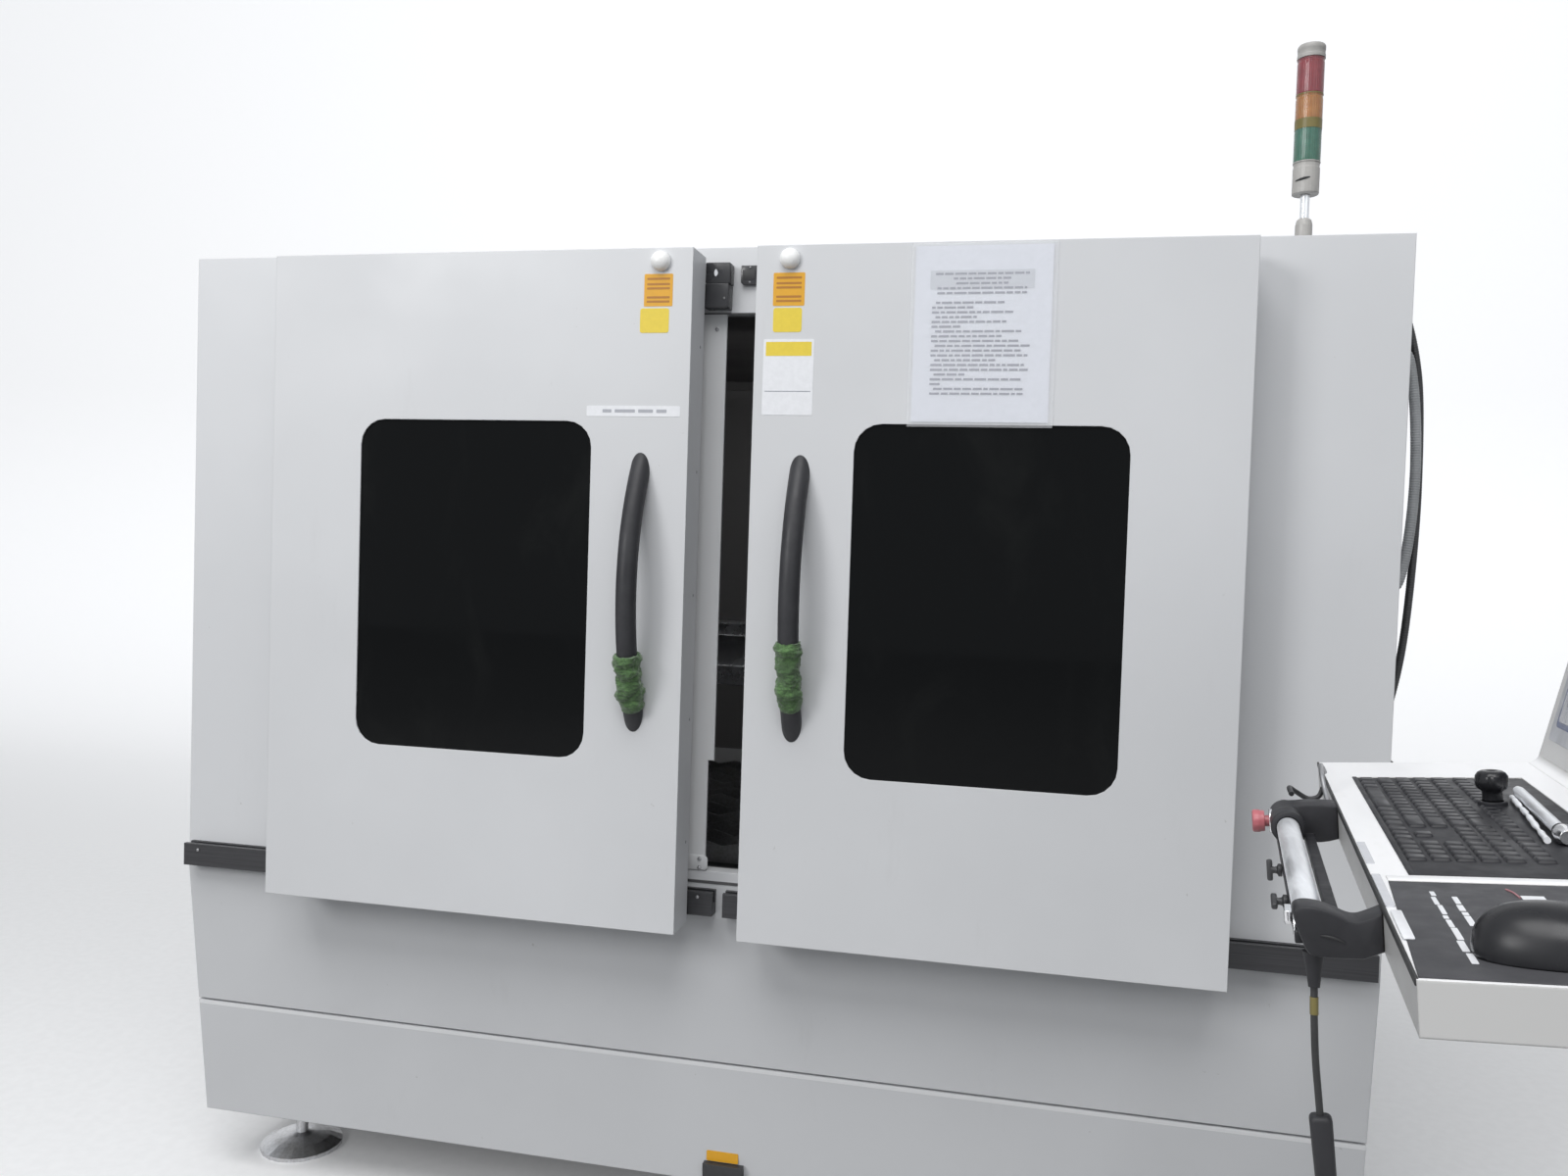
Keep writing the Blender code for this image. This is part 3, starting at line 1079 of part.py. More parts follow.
clear_objects()
LOOKS = make_finishes()
ROOT = pivot("front_left_foot_origin", (FOOT_X, -FOOT_FRONT_Y, 0))
build_base()
build_front()
build_sides()
build_rear_and_roof()
build_rails()
build_front_fittings()
build_hoses()
build_door("left", -1)
build_door("right", 1)
build_stack_light()
build_bed()
build_motion()
console_frame, console_hinge = build_arm()
build_housing(console_frame)
build_keyboard(console_frame)
build_mouse(console_frame)
build_grip(console_frame)
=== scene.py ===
"""Looks for an enclosed laser cutting cell: materials, fine fittings, light and camera.

Every piece is built with its points in world metres at rest. The cabinet's own frame has x = 0
on its middle plane, y = 0 on its front face and z = 0 on the floor.
"""
import json
import random
from math import atan2, cos, exp, pi, radians, sin, sqrt, tau

import bmesh
import bpy
from mathutils import Matrix, Vector, noise


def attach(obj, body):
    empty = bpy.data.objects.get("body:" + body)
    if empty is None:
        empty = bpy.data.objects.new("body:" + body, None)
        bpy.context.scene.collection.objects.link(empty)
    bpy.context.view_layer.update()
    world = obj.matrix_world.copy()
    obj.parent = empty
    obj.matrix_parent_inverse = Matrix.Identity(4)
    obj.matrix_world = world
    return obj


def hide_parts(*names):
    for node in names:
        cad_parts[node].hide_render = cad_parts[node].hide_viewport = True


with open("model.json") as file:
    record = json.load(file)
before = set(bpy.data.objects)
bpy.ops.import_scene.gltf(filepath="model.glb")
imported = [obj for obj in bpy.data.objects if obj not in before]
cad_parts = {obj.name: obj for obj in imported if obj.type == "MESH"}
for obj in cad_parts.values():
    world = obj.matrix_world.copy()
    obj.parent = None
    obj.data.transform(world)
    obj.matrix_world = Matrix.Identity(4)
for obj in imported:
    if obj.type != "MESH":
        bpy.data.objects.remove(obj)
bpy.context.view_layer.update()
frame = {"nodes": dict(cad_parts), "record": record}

# Places shared by the pieces
SHIFT = Vector((0.965, -0.215, 0))
DOOR_FRONT = -0.107
CONSOLE = (Matrix.Translation(Vector((0.892, -0.416, 1.05)) + SHIFT)
           @ Matrix.Rotation(radians(-7.24), 4, "Z")
           @ Matrix.Rotation(radians(-5.1), 4, "Y"))
SCREEN = CONSOLE @ Matrix.Translation((0.244, 0, 0)) @ Matrix.Rotation(radians(17.5), 4, "Y")
CABINET = Matrix.Translation(SHIFT)
HALF = 1.0825
HANDLE_X = 0.138
HANDLE_Z = 1.2175
HANDLE_CHORD = 0.409
HANDLE_RISE = 0.053
HANDLE_RADIUS = 0.0172
STACK = Vector((0.96, 0.25, 0))
STACK_RADIUS = 0.0226
STACK_AXIS = -STACK_RADIUS
GREEN_BOTTOM, AMBER_BOTTOM, RED_BOTTOM, CAP_BOTTOM, STACK_TOP = (
    2.0093, 2.0773, 2.1273, 2.1903, 2.2153)

# The inner faces of the sheet panels, seen from the cabinet's own frame, where shade is painted, and
# the front's seam, where a highlight is painted
INNER_X = 1.0815
INNER_Y = (0.0308, 1.699)
INNER_Z = (0.655, 1.8175)
SEAM_Z = 0.359


# Node trees

class Nodes:
    """A node tree with short ways to add and link nodes."""

    def __init__(self, tree):
        self.tree = tree

    def feed(self, value, socket):
        """Link a socket, or set it where a plain value comes."""
        if isinstance(value, bpy.types.NodeSocket):
            self.tree.links.new(value, socket)
        else:
            socket.default_value = value

    def node(self, kind, settings=None, **inputs):
        """Add a node, set its options, and set or link its inputs by name."""
        made = self.tree.nodes.new("ShaderNode" + kind)
        for key, value in (settings or {}).items():
            setattr(made, key, value)
        for key, value in inputs.items():
            self.feed(value, made.inputs[key.replace("_", " ")])
        return made

    def maths(self, operation, first, second=0):
        made = self.node("Math", {"operation": operation})
        self.feed(first, made.inputs[0])
        self.feed(second, made.inputs[1])
        return made.outputs[0]

    def times(self, first, second):
        return self.maths("MULTIPLY", first, second)

    def blend(self, amount, first, second):
        """Mix two colours, each a socket or three numbers."""
        made = self.node("Mix", {"data_type": "RGBA"})
        self.feed(amount, made.inputs[0])
        for index, value in ((6, first), (7, second)):
            linked = isinstance(value, bpy.types.NodeSocket)
            self.feed(value if linked else (*value, 1), made.inputs[index])
        return made.outputs[2]

    def spread(self, value, low, high, to_low=0, to_high=1):
        """Map a range of values onto another, smoothly and clamped."""
        made = self.node("MapRange", {"interpolation_type": "SMOOTHSTEP"}, Value=value,
                         From_Min=low, From_Max=high, To_Min=to_low, To_Max=to_high)
        return made.outputs["Result"]

    def background_seen(self):
        """One on the rays that show the background as it is."""
        rays = self.node("LightPath").outputs
        through = self.maths("MAXIMUM", rays["Is Glossy Ray"], rays["Is Transmission Ray"])
        return self.maths("MAXIMUM", rays["Is Camera Ray"], through)


class Look(Nodes):
    """A material in the making. Its coordinates are world metres at rest."""

    def __init__(self, name, colour, roughness, metallic=0, **sockets):
        self.material = bpy.data.materials.new("look_" + name)
        self.material.use_nodes = True
        super().__init__(self.material.node_tree)
        self.shader = self.tree.nodes["Principled BSDF"].inputs
        sockets.update(Base_Color=(*colour, 1), Roughness=roughness, Metallic=metallic)
        for key, value in sockets.items():
            self.shader[key.replace("_", " ")].default_value = value
        self.place = self.node("TexCoord").outputs["Object"]
        self.tint = colour
        self.soft = None

    def grain(self, scale, detail=2, roughness=0.5, stretch=None, distortion=0):
        place = self.place
        if stretch:
            place = self.node("Mapping", Vector=place, Scale=stretch).outputs[0]
        made = self.node("TexNoise", Vector=place, Scale=scale, Detail=detail,
                         Roughness=roughness, Distortion=distortion)
        return made.outputs["Fac"]

    def axes(self, vector):
        return self.node("SeparateXYZ", Vector=vector).outputs

    def upward(self):
        """How far the surface faces up."""
        return self.axes(self.node("NewGeometry").outputs["Normal"])[2]

    def cover(self, amount, colour):
        """Lay a colour over the tint."""
        self.tint = self.blend(amount, self.tint, colour)

    def film(self, source, low, high, colour, most=1):
        """Lay a colour over the tint where a source is high."""
        self.cover(self.spread(source, low, high, 0, most), colour)

    def soften(self, radius):
        """Round the sharp edges' normal."""
        self.soft = self.node("Bevel", {"samples": 4}, Radius=radius).outputs["Normal"]

    def edge_wear_and_highlight(self, radius, amount, colour, high=0.25):
        """Soften the sharp edges, and lay a colour along them: rubbed wear on some finishes, a
        painted highlight on the sheet paint.
        """
        self.soften(radius)
        dot = self.node("VectorMath", {"operation": "DOT_PRODUCT"})
        self.feed(self.soft, dot.inputs[0])
        self.feed(self.node("NewGeometry").outputs["Normal"], dot.inputs[1])
        edge = self.spread(self.maths("SUBTRACT", 1, dot.outputs["Value"]), 0.01, high)
        self.cover(self.times(edge, amount), colour)

    def finish(self, rough=None, relief=None, strength=0, distance=0):
        """Wire the tint, the roughness and the relief into the shader."""
        normal = None
        if relief is not None:
            made = self.node("Bump", Strength=strength, Distance=distance, Height=relief)
            if self.soft is not None:
                self.feed(self.soft, made.inputs["Normal"])
            normal = made.outputs["Normal"]
        for key, value in (("Base Color", self.tint), ("Roughness", rough), ("Normal", normal)):
            if isinstance(value, bpy.types.NodeSocket):
                self.feed(value, self.shader[key])
        return self.material


def tone(colour, gain, lift=0):
    """A colour made lighter or darker."""
    return tuple(min(1, channel * gain + lift) for channel in colour)


# Materials

def sheet_paint(name, colour, inner_shade_colour=None):
    """Powder coat: orange peel, cloudy tint, faint smudges, and softened folds with a painted
    highlight along them; given an inner colour, also painted shade on the cabinet's inner faces and a
    painted highlight along the front's seam.
    """
    look = Look(name, colour, 0.42, Specular_IOR_Level=0.45)
    look.tint = tone(colour, 0.965)
    look.film(look.grain(1.3, 4, 0.55), 0.35, 0.65, tone(colour, 1.025))
    drips = look.grain(9, 5, 0.7, stretch=(1, 1, 0.22))
    look.film(drips, 0.6, 0.78, (0.36, 0.355, 0.34), 0.1)
    look.film(look.grain(55, 3, 0.6), 0.73, 0.8, (0.3, 0.29, 0.27), 0.35)
    # Painted highlight: a lighter colour along the folds and edges of the powder coat.
    look.edge_wear_and_highlight(0.0022, 0.35, tone(colour, 1.22))
    if inner_shade_colour:
        x, y, z = look.axes(look.place)[:3]
        across = look.maths("ABSOLUTE", look.maths("SUBTRACT", x, SHIFT.x))
        inner_shade_mask = look.maths("LESS_THAN", across, INNER_X)
        for value, (low, high), offset in ((y, INNER_Y, SHIFT.y), (z, INNER_Z, 0)):
            over = look.maths("GREATER_THAN", value, low + offset)
            under = look.maths("LESS_THAN", value, high + offset)
            inner_shade_mask = look.times(inner_shade_mask, look.times(over, under))
        # Painted shade: the cabinet's inner faces take the darker inner colour.
        look.cover(inner_shade_mask, inner_shade_colour)
        # Painted highlight: a pale band along the front's seam, where the skirt's top bend catches
        # light.
        beside = look.maths("ABSOLUTE", look.maths("SUBTRACT", z, SEAM_Z))
        seam_highlight_mask = look.maths("LESS_THAN", beside, 0.0035)
        look.cover(look.times(seam_highlight_mask, 0.55), (0.95, 0.95, 0.96))
    rough = look.spread(look.grain(4, 4, 0.6), 0.3, 0.7, 0.36, 0.5)
    return look.finish(rough, look.grain(620), 0.1, 0.0004)


def plastic(name, colour, roughness, fine=1500, strength=0.12, wear=0.15, specular=0.5):
    """Moulded plastic: spark-eroded grain, rubbed and greyed along its edges."""
    look = Look(name, colour, roughness, Specular_IOR_Level=specular)
    look.film(look.grain(18, 4, 0.6), 0.35, 0.7, tone(colour, 1.35, 0.012), 0.55)
    look.edge_wear_and_highlight(0.0012, wear, tone(colour, 1.8, 0.05))
    rough = look.spread(look.grain(30, 3, 0.6), 0.3, 0.7, roughness - 0.07,
                        roughness + 0.08)
    return look.finish(rough, look.grain(fine), strength, 0.0003)


def metal(name, colour, roughness, stretch, scale=260, strength=0.15):
    """Machined or drawn metal: fine lines along its length, with clouded dulling."""
    look = Look(name, colour, roughness, 1)
    lines = look.grain(scale, 5, 0.7, stretch=stretch)
    cloud = look.grain(14, 4, 0.6)
    look.tint = tone(colour, 0.86)
    look.film(lines, 0.25, 0.75, colour)
    look.film(cloud, 0.55, 0.8, tone(colour, 0.6), 0.3)
    look.soften(0.001)
    rough = look.maths("ADD", look.spread(cloud, 0.3, 0.7, roughness - 0.06, roughness + 0.1),
                       look.times(lines, 0.06))
    return look.finish(rough, lines, strength, 0.0002)


def zinc(name):
    """Passivated zinc plate: small clouded crystals."""
    look = Look(name, (0.6, 0.6, 0.61), 0.38, 1)
    cells = look.node("TexVoronoi", Vector=look.place, Scale=170).outputs["Distance"]
    cloud = look.grain(12, 4, 0.6)
    look.tint = look.blend(cells, (0.5, 0.5, 0.5), (0.68, 0.68, 0.7))
    look.film(cloud, 0.5, 0.8, (0.42, 0.4, 0.35), 0.45)
    return look.finish(look.spread(cloud, 0.3, 0.7, 0.3, 0.52), cells, 0.05, 0.0004)


def dark_glass(name):
    """Near-black laser filter glass with a film of dust and wipe marks."""
    look = Look(name, (0.006, 0.0065, 0.007), 0.05, Specular_IOR_Level=0.07)
    wipe = look.grain(7, 6, 0.65, stretch=(1, 1, 0.45), distortion=0.6)
    look.film(wipe, 0.5, 0.8, (0.02, 0.021, 0.02), 0.3)
    look.film(look.grain(420, 2, 0.6), 0.72, 0.8, (0.06, 0.06, 0.06), 0.2)
    return look.finish(look.spread(wipe, 0.4, 0.75, 0.03, 0.16))


def lens(name, colour):
    """Unlit translucent lens with fine upright ribs."""
    look = Look(name, colour, 0.24, Transmission_Weight=0.25, Subsurface_Weight=0.2,
                Coat_Weight=0.3)
    x, y = look.axes(look.place)[:2]
    turn = look.maths("ARCTAN2", look.maths("SUBTRACT", y, SHIFT.y + STACK.y),
                      look.maths("SUBTRACT", x, SHIFT.x + STACK.x))
    ribs = look.maths("SINE", look.times(turn, 40))
    look.tint = tone(colour, 0.8)
    look.film(look.grain(60, 3, 0.6), 0.3, 0.7, colour)
    look.film(ribs, -1, 1, tone(colour, 0.62), 0.35)
    return look.finish(None, ribs, 0.25, 0.0006)


def machine_paint(name, colour):
    """Dark machine enamel with a film of cutting dust, thicker on what faces up."""
    look = Look(name, colour, 0.5)
    dust = look.grain(22, 5, 0.7)
    settled = look.spread(look.upward(), 0.2, 0.9, 0.08, 0.55)
    look.cover(look.times(look.spread(dust, 0.35, 0.7), settled),
               (0.3, 0.27, 0.24))
    look.edge_wear_and_highlight(0.002, 0.25, tone(colour, 2, 0.05))
    return look.finish(look.spread(dust, 0.3, 0.7, 0.42, 0.62), look.grain(380, 3, 0.6),
                       0.12, 0.0005)


def worn_and_shaded_white(name, colour):
    """White console enamel, scuffed on its edges, with painted shade on its sides: faces that do not
    face up are darker.
    """
    look = Look(name, colour, 0.34, Specular_IOR_Level=0.4)
    scuff = look.grain(24, 6, 0.7, stretch=(1, 0.35, 1))
    look.film(scuff, 0.55, 0.75, (0.66, 0.64, 0.61), 0.18)
    chipped = look.spread(look.grain(210, 3, 0.7), 0.45, 0.62, 0, 0.45)
    look.edge_wear_and_highlight(0.002, chipped, (0.5, 0.49, 0.47), high=0.2)
    # Painted shade: the faces that do not face up are darkened.
    look.cover(look.spread(look.upward(), 0.3, 0.8, 0.66, 0), (0.42, 0.415, 0.4))
    return look.finish(look.spread(scuff, 0.3, 0.7, 0.3, 0.46), look.grain(500), 0.06, 0.0004)


def rail_finish(name):
    """Black anodised bar: fine lines along it, rubbed on its edges."""
    look = Look(name, (0.017, 0.017, 0.019), 0.42, 0.2)
    lines = look.grain(90, 4, 0.7, stretch=(0.05, 1, 4))
    look.film(lines, 0.3, 0.7, (0.036, 0.036, 0.04))
    look.edge_wear_and_highlight(0.0012, 0.5, (0.2, 0.2, 0.21))
    return look.finish(look.spread(lines, 0.3, 0.7, 0.3, 0.48), lines, 0.08, 0.0002)


def crepe(name):
    """Green crepe padding: crinkled, with painted highlights on the crests of its crinkle, and paler
    fibres.
    """
    look = Look(name, (0.026, 0.075, 0.017), 0.88, Sheen_Weight=0.35, Sheen_Roughness=0.6)
    crinkle = look.grain(150, 6, 0.7, stretch=(1, 1, 2.4), distortion=1.2)
    fibre = look.grain(900, 3, 0.7)
    # Painted highlight: the crests of the crinkle are lighter than its folds.
    look.film(crinkle, 0.35, 0.68, (0.105, 0.225, 0.066))
    look.film(look.grain(38, 3, 0.6), 0.4, 0.65, (0.038, 0.085, 0.028), 0.6)
    look.film(fibre, 0.6, 0.75, (0.19, 0.29, 0.14), 0.4)
    both = look.maths("ADD", crinkle, look.times(fibre, 0.3))
    return look.finish(None, both, 0.55, 0.002)


def printed(name, colour, roughness=0.42):
    """Printed vinyl or paper with a faint mottle."""
    look = Look(name, colour, roughness, Coat_Weight=0.2)
    mottle = look.grain(120, 4, 0.6)
    look.tint = tone(colour, 0.97)
    look.film(mottle, 0.3, 0.7, tone(colour, 1.02))
    return look.finish(None, mottle, 0.05, 0.0003)


def clear_film(name, colour):
    """Clear sleeve with a slow ripple."""
    look = Look(name, colour, 0.16, Alpha=0.16, Specular_IOR_Level=0.6)
    ripple = look.grain(16, 3, 0.5, stretch=(1, 1, 0.3))
    return look.finish(look.spread(ripple, 0.3, 0.7, 0.1, 0.24), ripple, 0.25, 0.004)


RECIPES = {
    # The panel paint's second colour is painted shade for the cabinet's inner faces.
    "panel_paint": (sheet_paint, (0.66, 0.668, 0.685), (0.22, 0.215, 0.22)),
    # A lighter copy of the panel paint for the recessed centre post and its foot: painted light.
    "post_paint": (sheet_paint, (0.71, 0.715, 0.725)),
    "white_paint": (plastic, (0.93, 0.93, 0.92), 0.3, 900, 0.03, 0),
    "console_white": (worn_and_shaded_white, (0.94, 0.94, 0.95)),
    "frame_paint": (machine_paint, (0.014, 0.014, 0.016)),
    "bed_paint": (machine_paint, (0.16, 0.17, 0.18)),
    "black_plastic": (plastic, (0.024, 0.024, 0.026), 0.44),
    "handle_black": (plastic, (0.02, 0.02, 0.023), 0.48, 700, 0.15, 0.15, 0.36),
    "satin_black": (plastic, (0.026, 0.026, 0.029), 0.3, 1200, 0.06),
    "rail_black": (rail_finish,),
    "dark_glass": (dark_glass,),
    "zinc_steel": (zinc,),
    "aluminium": (metal, (0.86, 0.87, 0.89), 0.24, (1, 0.06, 1)),
    "chrome": (metal, (0.86, 0.86, 0.87), 0.14, (1, 1, 1), 120, 0.03),
    "grip_metal": (metal, (0.97, 0.98, 1), 0.46, (1, 0.05, 1), 200, 0.03),
    "screw": (metal, (0.42, 0.42, 0.43), 0.34, (1, 1, 1), 300, 0.05),
    "green_wrap": (crepe,),
    "ivory_plastic": (plastic, (0.37, 0.36, 0.345), 0.42, 900, 0.06, 0.1),
    "red_lens": (lens, (0.36, 0.07, 0.085)),
    "amber_lens": (lens, (0.56, 0.25, 0.085)),
    "green_lens": (lens, (0.075, 0.225, 0.16)),
    "grey_hose": (plastic, (0.32, 0.33, 0.34), 0.42, 1200, 0.1),
    "black_hose": (plastic, (0.022, 0.022, 0.024), 0.4, 1200, 0.1),
    "red_button": (plastic, (0.46, 0.13, 0.15), 0.4, 1500, 0.08),
    "amber_label": (printed, (0.74, 0.37, 0.012)),
    "amber_dark": (printed, (0.42, 0.17, 0.012)),
    "yellow_label": (printed, (0.8, 0.61, 0.05)),
    "white_label": (printed, (0.82, 0.83, 0.86)),
    "page": (printed, (0.76, 0.78, 0.84), 0.55),
    "ink": (printed, (0.26, 0.27, 0.32), 0.6),
    "pale_ink": (printed, (0.6, 0.62, 0.67), 0.6),
    "pale_grey": (printed, (0.42, 0.43, 0.47), 0.6),
    "pink_tape": (printed, (0.45, 0.2, 0.22)),
    "clear_tape": (printed, (0.66, 0.67, 0.71), 0.25),
    "sleeve": (clear_film, (0.93, 0.94, 0.97)),
    "mouse_pad": (plastic, (0.052, 0.052, 0.057), 0.55, 1600, 0.25, 0.15, 0.28),
    "key_plate": (plastic, (0.016, 0.016, 0.019), 0.5, 1600, 0.15, 0.15, 0.28),
    "key_cap": (plastic, (0.014, 0.014, 0.017), 0.42, 1800, 0.1, 0.15, 0.28),
    "gasket": (plastic, (0.016, 0.016, 0.017), 0.55, 1400, 0.1),
    "seam_brown": (plastic, (0.165, 0.135, 0.04), 0.4, 1400, 0.1),
    "seam_grey": (plastic, (0.085, 0.085, 0.088), 0.6, 1400, 0.1),
    "mouse_black": (plastic, (0.01, 0.01, 0.012), 0.28, 1400, 0.03, 0.05, 0.32),
    "bezel_grey": (plastic, (0.46, 0.47, 0.5), 0.4, 1200, 0.06, 0.1),
    "screen_blue": (plastic, (0.035, 0.06, 0.17), 0.35, 1400, 0.05, 0.1),
    "screen_face": (plastic, (0.17, 0.18, 0.22), 0.16, 1400, 0.02, 0),
    "grip_black": (plastic, (0.021, 0.021, 0.024), 0.46, 900, 0.2, 0.15, 0.28),
}
LOOKS = {name: make(name, *values) for name, (make, *values) in RECIPES.items()}

for entry in frame["record"]["subparts"]:
    target = frame["nodes"][entry["node"]]
    # The centre post takes the lighter copy of the panel paint, painted light on the recessed post.
    chosen = "post_paint" if entry["node"] == "centre_post" else entry["material_slot"]
    for slot in target.material_slots:
        slot.material = LOOKS[chosen]


# Shape tools

def block(low, high, radius=0, steps=2):
    """A box with its edges rounded."""
    shape = bmesh.new()
    bmesh.ops.create_cube(shape, size=1)
    size = Vector(high) - Vector(low)
    bmesh.ops.scale(shape, vec=size, verts=shape.verts)
    bmesh.ops.translate(shape, vec=Vector(low) + size / 2, verts=shape.verts)
    if radius:
        bmesh.ops.bevel(shape, geom=shape.edges[:], offset=radius, segments=steps, profile=0.5,
                        affect="EDGES")
    return shape


def rounded(low, high, radius, steps=5):
    """A rectangle's outline with rounded corners."""
    corners = ((high[0] - radius, high[1] - radius, 0), (low[0] + radius, high[1] - radius, 90),
               (low[0] + radius, low[1] + radius, 180), (high[0] - radius, low[1] + radius, 270))
    return [(x + radius * cos(radians(begin + 90 * step / steps)),
             y + radius * sin(radians(begin + 90 * step / steps)))
            for x, y, begin in corners for step in range(steps + 1)]


def rectangle(low, high):
    return [low, (high[0], low[1]), high, (low[0], high[1])]


def skin(shape, rings, closed=True):
    """Faces between rows of points, which may close into rings."""
    for lower, upper in zip(rings, rings[1:]):
        for index in range(len(lower) - (0 if closed else 1)):
            after = (index + 1) % len(lower)
            shape.faces.new((lower[index], lower[after], upper[after], upper[index]))


def outward(shape):
    bmesh.ops.recalc_face_normals(shape, faces=shape.faces)
    return shape


def slab(outline, near, far, axis="y", radius=0):
    """An outline given some thickness along an axis, with rounded rims."""
    def point(pair, along):
        return {"x": (along, *pair), "y": (pair[0], along, pair[1]), "z": (*pair, along)}[axis]
    shape = bmesh.new()
    rings = [[shape.verts.new(point(pair, depth)) for pair in outline] for depth in (near, far)]
    caps = [shape.faces.new(ring) for ring in rings]
    skin(shape, rings)
    outward(shape)
    if radius:
        rims = {edge for cap in caps for edge in cap.edges}
        bmesh.ops.bevel(shape, geom=list(rims), offset=radius, segments=2, profile=0.5,
                        affect="EDGES")
    return shape


def plate(low, high, near, far, corner, axis="y", steps=3, rim=0):
    """A flat plate with rounded corners."""
    return slab(rounded(low, high, corner, steps), near, far, axis, rim)


def lathe(profile, sides=32):
    """Revolve (radius, height) pairs about z."""
    shape = bmesh.new()
    rings = []
    for radius, height in profile:
        count = 1 if radius == 0 else sides
        rings.append([shape.verts.new((radius * cos(tau * side / sides),
                                       radius * sin(tau * side / sides), height))
                      for side in range(count)])
    for lower, upper in zip(rings, rings[1:]):
        for side in range(sides):
            after = (side + 1) % sides
            corners = [lower[side % len(lower)], lower[after % len(lower)],
                       upper[after % len(upper)], upper[side % len(upper)]]
            corners = list(dict.fromkeys(corners))
            if len(corners) > 2:
                shape.faces.new(corners)
    return outward(shape)


def smooth_path(points, per_span=8):
    """Points along a smooth curve through the given ones."""
    points = [Vector(point) for point in points]
    ends = [2 * points[0] - points[1]] + points + [2 * points[-1] - points[-2]]
    path = []
    for index in range(1, len(ends) - 2):
        before, start, end, after = ends[index - 1:index + 3]
        for step in range(per_span):
            share = step / per_span
            path.append(0.5 * (2 * start + (end - before) * share
                               + (2 * before - 5 * start + 4 * end - after) * share * share
                               + (3 * start - before - 3 * end + after) * share ** 3))
    return path + [points[-1]]


def sweep(path, radius, sides=16):
    """A closed tube along a path; the radius may be a function of the point's number."""
    shape = bmesh.new()
    size = radius if callable(radius) else (lambda index: radius)
    heading = (path[1] - path[0]).normalized()
    side = heading.orthogonal().normalized()
    rings = []
    for index, point in enumerate(path):
        before, after = path[max(index - 1, 0)], path[min(index + 1, len(path) - 1)]
        new_heading = (after - before).normalized()
        side = (heading.rotation_difference(new_heading) @ side).normalized()
        heading = new_heading
        other = heading.cross(side)
        rings.append([shape.verts.new(point + size(index) * (
            side * cos(tau * turn / sides)
            + other * sin(tau * turn / sides))) for turn in range(sides)])
    skin(shape, rings)
    shape.faces.new(rings[0])
    shape.faces.new(rings[-1])
    return outward(shape)


def moved(shape, matrix):
    bmesh.ops.transform(shape, matrix=matrix, verts=shape.verts)
    return shape


def gather(shapes):
    """Join loose shapes into one mesh."""
    whole = bmesh.new()
    for shape in shapes:
        mesh = bpy.data.meshes.new("part")
        shape.to_mesh(mesh)
        shape.free()
        whole.from_mesh(mesh)
        bpy.data.meshes.remove(mesh)
    return whole


def facing(direction, location):
    """A frame whose z looks along a direction."""
    turn = Vector((0, 0, 1)).rotation_difference(Vector(direction))
    return Matrix.Translation(location) @ turn.to_matrix().to_4x4()


def turned(profile, sides, direction, location):
    """A turned shape whose axis looks along a direction."""
    return moved(lathe(profile, sides), facing(direction, location))


def flute(shape, low, high, count, depth, power=1):
    """Press grooves into a turned shape between two heights."""
    for vert in shape.verts:
        if low < vert.co.z < high:
            turn = atan2(vert.co.y, vert.co.x)
            share = 1 - depth * max(0, cos(count * turn)) ** power
            vert.co.x *= share
            vert.co.y *= share
    return shape


def show(name, data):
    """Put a new object into the scene."""
    thing = bpy.data.objects.new(name, data)
    bpy.context.scene.collection.objects.link(thing)
    return thing


def piece(name, shape, look, body="machine", place=CABINET, angle=35):
    """Add a finished piece that rides on a body."""
    moved(shape, place)
    if place.determinant() < 0:
        bmesh.ops.reverse_faces(shape, faces=shape.faces)
    mesh = bpy.data.meshes.new(name)
    shape.to_mesh(mesh)
    shape.free()
    mesh.shade_smooth()
    mesh.set_sharp_from_angle(angle=radians(angle))
    mesh.materials.append(LOOKS[look])
    thing = show(name, mesh)
    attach(thing, body)
    return thing


def stand_in(thing, node):
    """Let a piece stand for a node by hiding the node."""
    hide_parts(node)


def pan_screw(radius):
    """A pan head with a hexagon socket."""
    shape = lathe([(0, 0), (radius, 0), (radius, radius * 0.35), (radius * 0.82, radius * 0.62),
                   (radius * 0.5, radius * 0.7)], 20)
    rim = lathe([(radius * 0.5, radius * 0.7), (radius * 0.42, radius * 0.3),
                 (0, radius * 0.3)], 6)
    return gather([shape, rim])


def screws(name, spots, radius, direction=(0, -1, 0), body="machine", look="screw"):
    shapes = [moved(pan_screw(radius), facing(direction, spot)) for spot in spots]
    return piece(name, gather(shapes), look, body)


def label(name, x_range, z_range, look, body, front=DOOR_FRONT, corner=0.002, thick=0.0004,
          lift=0):
    low, high = zip(x_range, z_range)
    return piece(name, plate(low, high, front - lift - thick, front - lift - 0.00005, corner),
                 look, body)


def printed_on(name, x_range, z_range, look, body, corner):
    """A patch that lies on a label."""
    label(name, x_range, z_range, look, body, corner=corner, thick=0.0002, lift=0.0004)


# Doors: labels, page, screws and wraps

